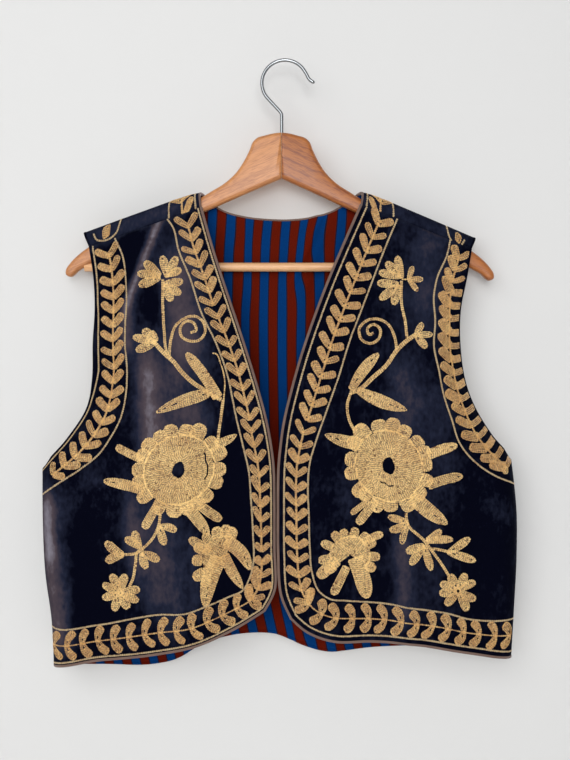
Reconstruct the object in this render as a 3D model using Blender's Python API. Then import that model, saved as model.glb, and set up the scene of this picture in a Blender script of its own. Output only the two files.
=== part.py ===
"""Embroidered velvet waistcoat hanging on a wooden hanger with a wire hook.

Millimetres in the tables, metres in the meshes. X runs to the viewer's right, Y away from the
viewer, Z up. The origin is the inside of the hook's top, where the hanger hangs on its nail.
"Right" and "left" name the wearer's sides, so the right front is at -X.

Each cloth panel is a grid of points between four boundary curves. Every row of a table is one
section of the garment, from the hem (first) to the shoulder (last), and a panel's wall is its
outer grid, an inner grid moved in by the wall's thickness, and the rim between them.
"""

import math
from collections import namedtuple

import bmesh
import bpy
import numpy as np
from mathutils import Matrix, Vector

MM = 0.001

# ---------------------------------------------------------------- driving sizes, in millimetres
SEAM_GAP = 0.3
SAME_PLACE = 0.001
FRONT_WALL = 2.4
BACK_WALL = 1.5
LINING_WALL = 1.0
BINDING_WIDTH = 2.1
BINDING_PROUD = 0.2
STRIP_END = 0.6

HANGER_MID_X = -3.4
HANGER_THICK = 12.0
HANGER_SWEEP = math.tan(math.radians(3.5))
HANGER_EDGE_ROUND = 4.5
HOOK_WIRE_RADIUS = 1.8
HOOK_RING_RADIUS = 23.8
HOOK_STEM_DEPTH = 24.0
BAR_RADIUS = 4.65
BAR_HALF_LENGTH = 206.0
LEFT_ARM_REACH = 0.982
LEFT_ARM_DROOP = 4.0
BAR_Z = -210.5
WRAP_RADIUS = 9.6
STRAP_DROP = 16.0
STRAP_LEAN = 60.0
STRAP_FOOT = (-76.0, 66.0)
STEM_HOLE_LENGTH = 40.0
HOOK_STEM_TOP = -75.0
# Shares of a fold's length, from its middle, over which it keeps its height and then fades.
FOLD_FLAT, FOLD_FADE = 0.3, 0.35
# The folds stop short of the shoulder: over this share of a front's height, and above this height of the back.
FRONT_FADE_SHARE = 0.08
BACK_FADE_FROM, BACK_FADE_OVER = -200.0, 60.0

# ---------------------------------------------------------------- sections of the garment
# One row for each section, hem first. The first five lie on the side seam, the rest on the armhole.
# x, z: the side or armhole edge; front_y, back_y: its depth on the front and on the back;
# front_roll, back_roll: how far the cloth turns in from the panel's face to reach that edge.
Side = namedtuple("Side", "x z front_y back_y front_roll back_roll")
RIGHT_SIDE = (
    Side(-239.0, -621.5, 3.0, 3.3, 19.0, 14.0),
    Side(-241.5, -576.0, 4.0, 4.3, 22.0, 16.0),
    Side(-248.0, -527.0, 4.0, 4.3, 24.0, 17.0),
    Side(-250.5, -474.0, 4.0, 4.3, 24.0, 17.0),
    Side(-251.0, -421.0, 4.0, 4.3, 20.0, 15.0),
    Side(-240.0, -408.5, -5.0, 12.0, 8.0, 6.0),
    Side(-222.5, -388.5, -5.0, 14.0, 7.0, 5.0),
    Side(-203.0, -358.0, -4.5, 16.0, 6.0, 4.0),
    Side(-197.3, -326.0, -2.0, 17.0, 5.0, 3.0),
    Side(-196.6, -290.0, -2.0, 18.5, 4.0, 2.0),
    Side(-194.6, -256.0, -1.5, 19.5, 3.0, 1.5),
    Side(-196.0, -222.0, 0.0, 20.5, 1.5, 1.0),
    Side(-201.0, -190.0, 2.4, 21.6, 0.0, 0.0),
)
LEFT_SIDE = (
    Side(234.0, -612.5, 3.0, 3.3, 19.0, 14.0),
    Side(237.0, -564.0, 4.0, 4.3, 22.0, 16.0),
    Side(239.5, -514.0, 4.0, 4.3, 24.0, 17.0),
    Side(239.5, -463.0, 4.0, 4.3, 24.0, 17.0),
    Side(234.5, -412.0, 4.0, 4.3, 20.0, 15.0),
    Side(225.0, -400.5, -4.0, 12.0, 9.0, 6.0),
    Side(211.5, -384.0, -2.0, 14.0, 11.0, 5.0),
    Side(195.0, -356.0, 0.0, 16.0, 11.0, 4.0),
    Side(184.5, -326.0, 0.0, 17.0, 10.0, 3.0),
    Side(180.0, -290.0, 0.0, 18.5, 9.0, 2.0),
    Side(180.3, -256.0, 0.0, 19.5, 6.0, 1.5),
    Side(186.5, -222.0, 0.5, 20.5, 2.5, 1.0),
    Side(191.5, -191.5, 2.2, 21.2, 0.0, 0.0),
)
# The same sections at the open front. x, z, y: the front edge; mid_y: the panel's face half way across.
Edge = namedtuple("Edge", "x z y mid_y")
RIGHT_EDGE = (
    Edge(-21.5, -561.6, -19.0, -22.0),
    Edge(-10.9, -538.0, -20.0, -23.0),
    Edge(-11.6, -500.0, -20.5, -24.5),
    Edge(-11.7, -462.0, -20.5, -25.5),
    Edge(-12.2, -424.0, -20.5, -25.5),
    Edge(-14.2, -402.0, -20.2, -25.0),
    Edge(-18.6, -376.0, -19.7, -24.0),
    Edge(-25.6, -348.0, -18.5, -22.5),
    Edge(-37.2, -309.0, -16.5, -19.5),
    Edge(-50.0, -270.0, -14.0, -16.0),
    Edge(-63.2, -231.0, -11.0, -11.5),
    Edge(-75.8, -192.0, -7.5, -6.5),
    Edge(-87.5, -151.0, -4.4, -1.0),
)
LEFT_EDGE = (
    Edge(6.8, -569.4, -20.0, -22.0),
    Edge(-3.6, -543.0, -21.0, -23.0),
    Edge(-6.0, -503.0, -21.5, -24.5),
    Edge(-6.2, -464.0, -21.5, -25.5),
    Edge(-5.9, -424.0, -21.5, -25.5),
    Edge(-4.2, -401.0, -21.2, -25.0),
    Edge(0.6, -373.0, -20.6, -24.0),
    Edge(8.0, -345.0, -19.5, -22.5),
    Edge(19.7, -306.0, -17.0, -19.5),
    Edge(32.7, -268.0, -14.5, -16.0),
    Edge(47.4, -229.0, -11.0, -11.5),
    Edge(62.6, -190.0, -7.5, -6.5),
    Edge(79.5, -148.0, -4.4, -1.0),
)
# The back's face half way across, for the same sections.
BACK_MID_Y = (21.0, 23.0, 24.5, 25.0, 25.0, 24.8, 24.6, 24.4, 24.0, 23.5, 23.0, 21.5, 18.0)
ARMHOLE_START = 4
SECTIONS = len(BACK_MID_Y)

# Cut edges that aren't a side or a front edge, as x, z.
RIGHT_HEM = ((-239, -621.5), (-190, -612), (-136, -605.5), (-92, -596.5), (-52, -580), (-21.5, -561.6))
LEFT_HEM = ((234, -612.5), (180, -603.5), (133, -595), (90, -591.5), (52, -592), (24.5, -583.5), (6.8, -569.4))
BACK_HEM = (
    (-239, -621.5), (-195, -624.5), (-155, -626), (-127, -622.5), (-110, -616.5), (-85, -602), (-45, -593.5),
    (-10, -593), (18, -604), (46, -611.5), (90, -608), (135, -605), (180, -607), (234, -612.5),
)
BACK_NECK = ((-62, -153.5), (-46, -157.8), (-28, -160.3), (-5, -161.4), (16, -160.5), (34, -157.6), (50, -152.6))
# Where the back turns over the hanger's arms: x, z of its top line, neck end and shoulder end, and how
# far the neck end sinks below that line, within a reach along it.
RIGHT_TOP = ((-88.0, -131.8), (-208.0, -174.0))
LEFT_TOP = ((80.0, -131.2), (197.0, -179.6))
NECK_SINK, SINK_REACH = 2.5, 13.0

# Folds: a soft ridge along a line, out of the cloth's face where height is positive.
Fold = namedtuple("Fold", "x0 z0 x1 z1 width height")
RIGHT_FRONT_FOLDS = (
    Fold(-132, -172, -160, -250, 12, 5.0),
    Fold(-158, -250, -166, -345, 16, 4.0),
    Fold(-128, -300, -118, -440, 30, 5.0),
    Fold(-118, -430, -92, -590, 26, 5.0),
    Fold(-62, -390, -52, -560, 22, -5.0),
    Fold(-212, -470, -196, -600, 20, -5.0),
    Fold(-178, -262, -184, -372, 12, -3.5),
)
LEFT_FRONT_FOLDS = (
    Fold(146, -190, 158, -290, 12, 3.0),
    Fold(120, -440, 124, -585, 13, 5.0),
    Fold(148, -330, 152, -470, 26, 4.0),
    Fold(88, -330, 82, -520, 24, -3.5),
    Fold(196, -450, 200, -590, 26, -4.5),
    Fold(40, -420, 48, -560, 22, 2.5),
)
BACK_FOLDS = (
    Fold(-150, -250, -172, -610, 26, 5.0),
    Fold(-96, -330, -104, -622, 22, -4.0),
    Fold(-40, -240, -52, -590, 24, 4.0),
    Fold(22, -300, 16, -600, 20, -4.0),
    Fold(84, -250, 92, -606, 26, 4.5),
    Fold(150, -330, 166, -604, 22, -3.5),
)

# ---------------------------------------------------------------- how finely the panels are divided
ROLL_SHARE = 0.12
ROLL_STEPS = 5
FRONT_STEPS = 15
BACK_STEPS_SHOULDER = 4
BACK_STEPS_NECK = 9
ROWS_PER_SECTION = 2.4
STRAP_ROWS = 10
CURVE_SAMPLES = 40
BAR_SIDES = 16
STEM_HOLE_SIDES = 12
HANGER_EDGE_STEPS = 2
HOOK_SIDES = 8

# ---------------------------------------------------------------- hanger outline, right arm
# distance from the hanger's middle and height, over the top to the tip and back under to the middle
HANGER_OUTLINE = (
    (0, -73.5), (7, -74.0), (17, -76.1), (25.4, -78.6), (30, -83.0), (32.8, -90.0), (38.9, -102.1),
    (47, -114.0), (60.5, -126.0), (71, -132.2), (79, -137.0), (86, -141.0), (110, -151.6), (140, -163.2), (165, -173.0),
    (186, -181.0), (206.5, -189.2), (218.3, -196.6), (225.6, -203.2), (229.8, -211.9), (228.6, -216.4),
    (223.5, -218.2), (211, -210.6), (201, -206.1), (141, -180.4), (81.3, -154.8), (35, -135.1), (0, -120.6),
)
HANGER_TIP = 19  # the point of it that reaches furthest out
HOOK_TAIL = ((22.4, -13.2), (24.6, -17.4), (27.4, -20.0), (30.6, -21.6))
HOOK_BEND = ((HANGER_MID_X, -57.0), (-4.0, -53.2), (-6.4, -50.0), (-12.6, -43.4))
HOOK_ARC_FROM, HOOK_ARC_TO, HOOK_ARC_STEPS = 214.0, 28.0, 14

VELVET = ("velvet", (0.016, 0.017, 0.040, 1.0), 0.95, 0.0)
STRIPED_COTTON = ("striped_cotton", (0.150, 0.035, 0.045, 1.0), 0.85, 0.0)
BIAS_TAPE = ("bias_tape", (0.330, 0.200, 0.135, 1.0), 0.80, 0.0)
OILED_WOOD = ("oiled_wood", (0.560, 0.270, 0.115, 1.0), 0.45, 0.0)
PALE_WOOD = ("pale_wood", (0.750, 0.500, 0.280, 1.0), 0.50, 0.0)
BRIGHT_STEEL = ("bright_steel", (0.700, 0.700, 0.700, 1.0), 0.18, 1.0)


# ---------------------------------------------------------------- curves and grids
def through(points, at):
    """Points of a smooth curve through the given ones. at runs from 0 to their number less one."""
    knots = np.asarray(points, float)
    last = len(knots) - 1
    at = np.clip(np.asarray(at, float), 0, last)
    i = np.minimum(at.astype(int), last - 1)
    t = (at - i)[:, None]
    before, after = np.maximum(i - 1, 0), np.minimum(i + 2, last)
    p0, p1, p2, p3 = knots[before], knots[i], knots[i + 1], knots[after]
    slope1, slope2 = (p2 - p0) / 2, (p3 - p1) / 2
    return (
        (2 * t**3 - 3 * t**2 + 1) * p1
        + (t**3 - 2 * t**2 + t) * slope1
        + (3 * t**2 - 2 * t**3) * p2
        + (t**3 - t**2) * slope2
    )


def evenly(points, shares):
    """Points of that curve at the given shares of its length."""
    dense = through(points, np.linspace(0, len(points) - 1, CURVE_SAMPLES * len(points)))
    steps = np.linalg.norm(np.diff(dense, axis=0), axis=1)
    along = np.concatenate([[0], np.cumsum(steps)]) / steps.sum()
    return np.column_stack([np.interp(shares, along, dense[:, k]) for k in range(dense.shape[1])])


def patch(start, end, left, right, across, up):
    """A grid of points between four curves: start and end run across, left and right run up."""
    u, v = np.asarray(across)[None, :, None], np.asarray(up)[:, None, None]
    corners = (1 - u) * (1 - v) * start[0] + u * (1 - v) * start[-1] + (1 - u) * v * end[0] + u * v * end[-1]
    return (1 - v) * start[None] + v * end[None] + (1 - u) * left[:, None] + u * right[:, None] - corners


def straight(start, end, shares):
    """Points of a straight line at the given shares of its length."""
    start, end = np.asarray(start, float), np.asarray(end, float)
    return start + np.asarray(shares)[:, None] * (end - start)


def roll(distance, rows):
    """How far a panel has turned in: 1 at its side, 0 from the roll's width inwards.

    It's a quarter round down the side seam, and opens out to a shallow curve along the armhole.
    """
    left = 1 - np.clip(distance / ROLL_SHARE, 0, 1)
    seam = np.clip(ARMHOLE_START + 1 - rows, 0, 1)[:, None]
    return seam * (1 - np.sqrt(1 - left**2)) + (1 - seam) * left**2


def roll_stations():
    """Shares of the panel's width at which the rolled side has its columns, from the edge inwards."""
    return [ROLL_SHARE * (1 - math.cos(math.pi / 2 * k / ROLL_STEPS)) for k in range(ROLL_STEPS + 1)]


def fold_height(folds, x, z):
    """The summed height of the folds at each point, rounded off across and fading at both ends."""
    total = np.zeros_like(x)
    for fold in folds:
        run = np.array([fold.x1 - fold.x0, fold.z1 - fold.z0])
        length = np.linalg.norm(run)
        along = ((x - fold.x0) * run[0] + (z - fold.z0) * run[1]) / length**2
        beside = ((x - fold.x0) * run[1] - (z - fold.z0) * run[0]) / length
        past = np.maximum(0, np.abs(along - 0.5) - FOLD_FLAT) / FOLD_FADE
        total += fold.height * np.exp(-((beside / fold.width) ** 2) - past**2)
    return total


def arm_y(x):
    """Depth of the hanger arms' middle plane: they sweep back from the hanger's middle."""
    return HANGER_SWEEP * np.abs(x - HANGER_MID_X)


# ---------------------------------------------------------------- the panels' outer faces
def section_rows():
    """Places of the grid's rows among the sections, with one at the underarm."""
    below = round(ARMHOLE_START * ROWS_PER_SECTION)
    above = round((SECTIONS - 1 - ARMHOLE_START) * ROWS_PER_SECTION)
    return np.concatenate(
        [np.linspace(0, ARMHOLE_START, below + 1), np.linspace(ARMHOLE_START, SECTIONS - 1, above + 1)[1:]]
    )


def armhole_row():
    """The first row of the grid above the underarm."""
    return round(ARMHOLE_START * ROWS_PER_SECTION) + 1


def binding_row():
    """The row where an armhole's bindings start, above the point where front and back meet."""
    return armhole_row() + 1


def side_at(side, rows):
    """The side table read between its rows, with the corner at the underarm kept."""
    table = np.array(side)
    seam = through(table[: ARMHOLE_START + 1], rows)
    armhole = through(table[ARMHOLE_START:], rows - ARMHOLE_START)
    return np.where((rows <= ARMHOLE_START)[:, None], seam, armhole)


def front_grid(side, edge, hem, folds):
    """Outer points of one front, as rows from the hem up and columns from the front edge to the side."""
    inner = np.linspace(0, 1 - ROLL_SHARE, FRONT_STEPS + 1)
    across = np.concatenate([inner, 1 - np.array(roll_stations()[-2::-1])])
    rows = section_rows()
    up = rows / rows[-1]
    sides, edges = side_at(side, rows), through(np.array(edge), rows)
    seam_line = straight(edge[-1][:2], side[-1][:2], across)
    plan = patch(evenly(hem[::-1], across), seam_line, edges[:, :2], sides[:, :2], across, up)
    u = across[None, :]
    edge_y, mid_y = edges[:, 2:3], edges[:, 3:4]
    side_y, side_roll = sides[:, 2:3], sides[:, 4:5]
    face_y = side_y - side_roll
    bow = mid_y - (edge_y + face_y) / 2
    turned = roll(1 - u, rows)
    y = edge_y + (face_y - edge_y) * u + 4 * bow * u * (1 - u) + side_roll * turned
    fade = (1 - turned) * np.clip((1 - up[:, None]) / FRONT_FADE_SHARE, 0, 1)
    y = y - fade * fold_height(folds, plan[..., 0], plan[..., 1])
    return np.dstack([plan[..., 0], y, plan[..., 1]])


def top_height(x):
    """Height of the line along which the back turns over the hanger's arms."""
    lines = []
    for (neck_x, neck_z), (tip_x, tip_z) in (RIGHT_TOP, LEFT_TOP):
        out = (x - neck_x) * np.sign(tip_x - neck_x)
        sink = NECK_SINK * np.exp(-np.maximum(0, out) / SINK_REACH)
        lines.append(neck_z + out * (tip_z - neck_z) / abs(tip_x - neck_x) - sink)
    return np.where(x < HANGER_MID_X, *lines)


def seam_on_pattern(front):
    """A shoulder seam's end on the back's flat pattern, which runs over the arm and down its front."""
    turn = top_height(np.array(front.x)) - WRAP_RADIUS
    return front.x, float(2 * turn + math.pi * WRAP_RADIUS - front.z - SEAM_GAP)


def fold_on_pattern(point):
    """A point of the top line on the back's flat pattern."""
    return point[0], float(top_height(np.array(point[0]))) + (math.pi / 2 - 1) * WRAP_RADIUS


def over_the_arm(x, height, y):
    """Depth and real height of a pattern point, which goes up the back, over the arm and down its front."""
    turn = top_height(x) - WRAP_RADIUS
    near = np.clip(1 - (top_height(x) - STRAP_DROP - height) / STRAP_LEAN, 0, 1)
    near = near * near * (3 - 2 * near)
    past = np.maximum(0, height - turn)
    angle = np.minimum(past / WRAP_RADIUS, math.pi)
    down = np.maximum(0, past - math.pi * WRAP_RADIUS)
    back_y = y + near * (arm_y(x) + WRAP_RADIUS - y)
    wrapped_y = np.where(past > 0, arm_y(x) + WRAP_RADIUS * np.cos(angle), back_y)
    real_z = np.where(past > 0, turn + WRAP_RADIUS * np.sin(angle) - down, height)
    return np.dstack([x, wrapped_y, real_z])


def back_stations():
    """Shares of the back's width at which it has its columns: half of them over one shoulder, then the neck's."""
    shoulder = (STRAP_FOOT[0] - RIGHT_SIDE[-1].x) / (LEFT_SIDE[-1].x - RIGHT_SIDE[-1].x)
    half = np.concatenate([roll_stations(), np.linspace(ROLL_SHARE, shoulder, BACK_STEPS_SHOULDER + 1)[1:]])
    middle = np.linspace(shoulder, 1 - shoulder, BACK_STEPS_NECK + 1)[1:-1]
    return half, np.concatenate([half, middle, 1 - half[::-1]])


def strap_lines(side, foot, share):
    """The foot of a shoulder strap, armhole to neck, along a line a little below the top one."""
    x = side[-1].x + share * (foot - side[-1].x)
    return np.column_stack([x, top_height(x) - STRAP_DROP])


def back_grid():
    """Outer points of the back below its shoulder straps, as rows from the hem up."""
    half, across = back_stations()
    rows = section_rows()
    up = rows / rows[-1]
    right_foot = strap_lines(RIGHT_SIDE, STRAP_FOOT[0], half / half[-1])
    left_foot = strap_lines(LEFT_SIDE, STRAP_FOOT[1], half / half[-1])
    neck = evenly((right_foot[-1], *BACK_NECK, left_foot[-1]), np.linspace(0, 1, BACK_STEPS_NECK + 1))
    top = np.vstack([right_foot[:-1], neck, left_foot[-2::-1]])
    right, left = side_at(RIGHT_SIDE, rows), side_at(LEFT_SIDE, rows)
    right_line, left_line = right[:, :2].copy(), left[:, :2].copy()
    right_line[-1], left_line[-1] = top[0], top[-1]
    pattern = patch(evenly(BACK_HEM, across), top, right_line, left_line, across, up)

    x, height, u = pattern[..., 0], pattern[..., 1], across[None, :]
    mid_y = through(np.array(BACK_MID_Y)[:, None], rows)
    right_face, left_face = right[:, 3:4] + right[:, 5:6], left[:, 3:4] + left[:, 5:6]
    bow = mid_y - (right_face + left_face) / 2
    face = right_face + (left_face - right_face) * u + 4 * bow * u * (1 - u)
    right_turn, left_turn = roll(u, rows), roll(1 - u, rows)
    fade = (1 - right_turn - left_turn) * np.clip((BACK_FADE_FROM - height) / BACK_FADE_OVER, 0, 1)
    y = face - right[:, 5:6] * right_turn - left[:, 5:6] * left_turn
    return over_the_arm(x, height, y + fade * fold_height(BACK_FOLDS, x, height))


def strap_grid(side, edge, top, foot):
    """Outer points of a shoulder strap, from its foot on the back over the arm to the shoulder seam."""
    half, _ = back_stations()
    share, up = half / half[-1], np.linspace(0, 1, STRAP_ROWS + 1)
    start = strap_lines(side, foot, share)
    end = straight(seam_on_pattern(side[-1]), seam_on_pattern(edge[-1]), share)
    armhole = evenly((start[0], fold_on_pattern(top[1]), end[0]), up)
    neck = evenly((start[-1], fold_on_pattern(top[0]), end[-1]), up)
    pattern = patch(start, end, armhole, neck, share, up)
    return over_the_arm(pattern[..., 0], pattern[..., 1], np.zeros(pattern.shape[:2]))


# ---------------------------------------------------------------- solids from grids
# seams: the points on the side seams, where front and back meet face to face across Y.
Sheet = namedtuple("Sheet", "points triangles seams")


def numbered(grid, first=0):
    """The grid's point numbers, laid out as the grid is."""
    return first + np.arange(grid.shape[0] * grid.shape[1]).reshape(grid.shape[:2])


def triangles_of(*numbers):
    """Two triangles for each cell of each numbered grid, all split the same way."""
    found = []
    for grid in numbers:
        a, b, c, d = grid[:-1, :-1], grid[:-1, 1:], grid[1:, 1:], grid[1:, :-1]
        found.append(np.stack([a, b, c], axis=-1).reshape(-1, 3))
        found.append(np.stack([a, c, d], axis=-1).reshape(-1, 3))
    return np.vstack(found)


def normals_of(sheet, towards):
    """Unit normals of a sheet's points, on the side that looks towards +Y or -Y."""
    p, t = sheet.points, sheet.triangles
    face = np.cross(p[t[:, 1]] - p[t[:, 0]], p[t[:, 2]] - p[t[:, 0]])
    normal = np.zeros_like(p)
    for corner in range(3):
        np.add.at(normal, t[:, corner], face)
    normal[sheet.seams, 1] = 0
    normal /= np.linalg.norm(normal, axis=1, keepdims=True)
    return normal * (1 if normal[:, 1].sum() * towards > 0 else -1)


def finish(name, mesh, material):
    """A named object of that mesh with its material."""
    label, colour, roughness, metallic = material
    coat = bpy.data.materials.get(label) or bpy.data.materials.new(label)
    coat.use_nodes = True
    shader = coat.node_tree.nodes["Principled BSDF"]
    shader.inputs["Base Color"].default_value = colour
    shader.inputs["Roughness"].default_value = roughness
    shader.inputs["Metallic"].default_value = metallic
    mesh.materials.append(coat)
    obj = bpy.data.objects.new(name, mesh)
    bpy.context.scene.collection.objects.link(obj)
    return obj


def solid(name, points, faces, material):
    """An object from points in millimetres and faces, with its normals made to point out."""
    mesh = bpy.data.meshes.new(name)
    mesh.from_pydata([tuple(p * MM) for p in points], [], [tuple(int(i) for i in face) for face in faces])
    work = bmesh.new()
    work.from_mesh(mesh)
    bmesh.ops.recalc_face_normals(work, faces=work.faces)
    work.to_mesh(mesh)
    work.free()
    return finish(name, mesh, material)


def wall(name, outer, inner, triangles, material):
    """A closed wall between two sets of points that share their triangles."""
    count = len(outer)
    sides = np.vstack([triangles[:, [0, 1]], triangles[:, [1, 2]], triangles[:, [2, 0]]])
    used = {tuple(side) for side in sides.tolist()}
    rim = [(b, a, a + count, b + count) for a, b in used if (b, a) not in used]
    faces = [*triangles.tolist(), *(triangles[:, ::-1] + count).tolist(), *sorted(rim)]
    return solid(name, np.vstack([outer, inner]), faces, material)


def strip(name, outer, inner, route, beside):
    """Binding along a rim: a band a seam's gap outside it and a little thicker than the wall."""
    near_rim, far_rim = outer[route].copy(), inner[route].copy()
    for line in (near_rim, far_rim):
        line[0] += (line[1] - line[0]) * STRIP_END / np.linalg.norm(line[1] - line[0])
        line[-1] += (line[-2] - line[-1]) * STRIP_END / np.linalg.norm(line[-2] - line[-1])
    across = far_rim - near_rim
    thick = np.linalg.norm(across, axis=1, keepdims=True)
    depth = across / thick * (thick / 2 + BINDING_PROUD)
    middle = (near_rim + far_rim) / 2
    out = np.cross(np.gradient(middle, axis=0), depth)
    out /= np.linalg.norm(out, axis=1, keepdims=True)
    out *= np.sign(np.sum(out * (outer[route] - outer[beside]), axis=1, keepdims=True))
    near, far = middle + out * SEAM_GAP, middle + out * (SEAM_GAP + BINDING_WIDTH)
    return tube(name, np.stack([near - depth, far - depth, far + depth, near + depth], axis=1), BIAS_TAPE)


def tube(name, rings, material):
    """A closed body through rings of points, with a flat end at either side."""
    count, sides = rings.shape[:2]
    faces = [tuple(range(sides)), tuple(sides * (count - 1) + k for k in range(sides - 1, -1, -1))]
    for i in range(count - 1):
        for k in range(sides):
            a, b = sides * i + k, sides * i + (k + 1) % sides
            faces.append((a, a + sides, b + sides, b))
    return solid(name, rings.reshape(-1, 3), faces, material)


# ---------------------------------------------------------------- the garment
def make_front(name, side, edge, hem, folds):
    """One front with its edge binding and the front part of its armhole binding."""
    grid = front_grid(side, edge, hem, folds)
    numbers = numbered(grid)
    start = armhole_row()
    sheet = Sheet(grid.reshape(-1, 3), triangles_of(numbers), numbers[:start, -1])
    outer = sheet.points
    inner = outer + normals_of(sheet, 1) * FRONT_WALL
    wall(f"{name}_front", outer, inner, sheet.triangles, VELVET)

    route = np.concatenate([numbers[0, ::-1], numbers[1:, 0]])
    beside = np.concatenate([numbers[1, ::-1], numbers[1:, 1]])
    strip(f"{name}_front_edge_binding", outer, inner, route, beside)
    foot = binding_row()
    strip(f"{name}_front_armhole_binding", outer, inner, numbers[foot:, -1], numbers[foot:, -2])


def make_back():
    """The back, the striped lining that shows inside it, and the bindings of its edges."""
    main = back_grid()
    right = strap_grid(RIGHT_SIDE, RIGHT_EDGE, RIGHT_TOP, STRAP_FOOT[0])
    left = strap_grid(LEFT_SIDE, LEFT_EDGE, LEFT_TOP, STRAP_FOOT[1])[:, ::-1]
    columns = right.shape[1]
    body = numbered(main)
    right_numbers = np.vstack([body[-1:, :columns], numbered(right[1:], body.size)])
    left_numbers = np.vstack([body[-1:, -columns:], numbered(left[1:], right_numbers.max() + 1)])
    points = np.vstack([main.reshape(-1, 3), right[1:].reshape(-1, 3), left[1:].reshape(-1, 3)])
    start = armhole_row()
    triangles = triangles_of(body, right_numbers, left_numbers)
    sheet = Sheet(points, triangles, body[:start, [0, -1]].ravel())
    normal = normals_of(sheet, -1)
    inner, lining_outer = points + normal * BACK_WALL, points + normal * (BACK_WALL + SEAM_GAP)
    lining_inner = points + normal * (BACK_WALL + SEAM_GAP + LINING_WALL)
    wall("back", points, inner, sheet.triangles, VELVET)
    wall("back_lining", lining_outer, lining_inner, sheet.triangles, STRIPED_COTTON)

    strip("back_hem_binding", points, lining_inner, body[0], body[1])
    foot = binding_row()
    for name, strap, edge, beside in (("right", right_numbers, 0, 1), ("left", left_numbers, -1, -2)):
        route = np.concatenate([body[foot:, edge], strap[1:, edge]])
        next_to = np.concatenate([body[foot:, beside], strap[1:, beside]])
        strip(f"{name}_back_armhole_binding", points, lining_inner, route, next_to)
    neck = slice(columns - 1, body.shape[1] - columns + 1)
    route = np.concatenate([right_numbers[:0:-1, -1], body[-1, neck], left_numbers[1:, 0]])
    next_to = np.concatenate([right_numbers[:0:-1, -2], body[-2, neck], left_numbers[1:, 1]])
    strip("back_neck_binding", points, lining_inner, route, next_to)


# ---------------------------------------------------------------- the hanger
def cutter(name, centre, axis, radius, length, sides):
    """A hidden cylinder for cutting a hole, along X or Z, placed by its middle, in millimetres."""
    mesh = bpy.data.meshes.new(name)
    work = bmesh.new()
    bmesh.ops.create_cone(
        work, cap_ends=True, segments=sides, radius1=radius * MM, radius2=radius * MM, depth=length * MM
    )
    if axis == "X":
        work.transform(Matrix.Rotation(math.pi / 2, 4, "Y"))
    work.transform(Matrix.Translation(Vector(centre) * MM))
    work.to_mesh(mesh)
    work.free()
    obj = bpy.data.objects.new(name, mesh)
    bpy.context.scene.collection.objects.link(obj)
    obj.hide_render = True
    obj.display_type = "WIRE"
    return obj


def make_arm(name, direction, reach, droop, cutters):
    """One half of the hanger: its outline given thickness, rounded, swept back, and drilled.

    reach scales the arm's length and droop lowers its tip, as the two halves aren't quite alike.
    """
    tip = HANGER_OUTLINE[HANGER_TIP][0]
    half = HANGER_THICK / 2
    mesh = bpy.data.meshes.new(name)
    work = bmesh.new()
    start = SEAM_GAP / 2
    face = work.faces.new(
        [
            work.verts.new((max(d * reach, start) * MM, -half * MM, (z - droop * d / tip) * MM))
            for d, z in HANGER_OUTLINE
        ]
    )
    lifted = bmesh.ops.extrude_face_region(work, geom=[face])
    moved = [v for v in lifted["geom"] if isinstance(v, bmesh.types.BMVert)]
    bmesh.ops.translate(work, verts=moved, vec=(0, HANGER_THICK * MM, 0))
    bmesh.ops.recalc_face_normals(work, faces=work.faces)
    mitre = (start + SAME_PLACE) * MM
    rims = [
        e
        for e in work.edges
        if abs(e.verts[0].co.y - e.verts[1].co.y) < SAME_PLACE * MM and max(v.co.x for v in e.verts) > mitre
    ]
    bmesh.ops.bevel(
        work,
        geom=rims,
        offset=HANGER_EDGE_ROUND * MM,
        segments=HANGER_EDGE_STEPS,
        affect="EDGES",
        profile=0.5,
        clamp_overlap=True,
    )
    for v in work.verts:
        v.co.y += HANGER_SWEEP * v.co.x
        v.co.x = HANGER_MID_X * MM + direction * v.co.x
    bmesh.ops.recalc_face_normals(work, faces=work.faces)
    work.to_mesh(mesh)
    work.free()
    arm = finish(name, mesh, OILED_WOOD)
    for tool in cutters:
        cut = arm.modifiers.new(tool.name, "BOOLEAN")
        cut.operation = "DIFFERENCE"
        cut.solver = "EXACT"
        cut.object = tool
    return arm


def make_hanger():
    """Two mitred arms, the trouser bar let into their ends, and the wire hook let into the top."""
    bar_y = HANGER_SWEEP * BAR_HALF_LENGTH
    stem_foot = HANGER_OUTLINE[0][1] - HOOK_STEM_DEPTH
    bar_middle = (HANGER_MID_X, bar_y, BAR_Z)
    hole_length = 2 * (BAR_HALF_LENGTH + SEAM_GAP)
    bar_hole = cutter("bar_hole", bar_middle, "X", BAR_RADIUS + SEAM_GAP, hole_length, BAR_SIDES)
    stem_middle = (HANGER_MID_X, 0, stem_foot - SEAM_GAP + STEM_HOLE_LENGTH / 2)
    stem_hole = cutter(
        "stem_hole", stem_middle, "Z", HOOK_WIRE_RADIUS + SEAM_GAP, STEM_HOLE_LENGTH, STEM_HOLE_SIDES
    )
    make_arm("hanger_right_arm", -1, 1.0, 0.0, (bar_hole, stem_hole))
    make_arm("hanger_left_arm", 1, LEFT_ARM_REACH, LEFT_ARM_DROOP, (bar_hole, stem_hole))

    bar = cutter("hanger_bar", bar_middle, "X", BAR_RADIUS, 2 * BAR_HALF_LENGTH, BAR_SIDES)
    mesh = bar.data
    bpy.data.objects.remove(bar)
    finish("hanger_bar", mesh, PALE_WOOD)
    make_hook(stem_foot)


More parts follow.
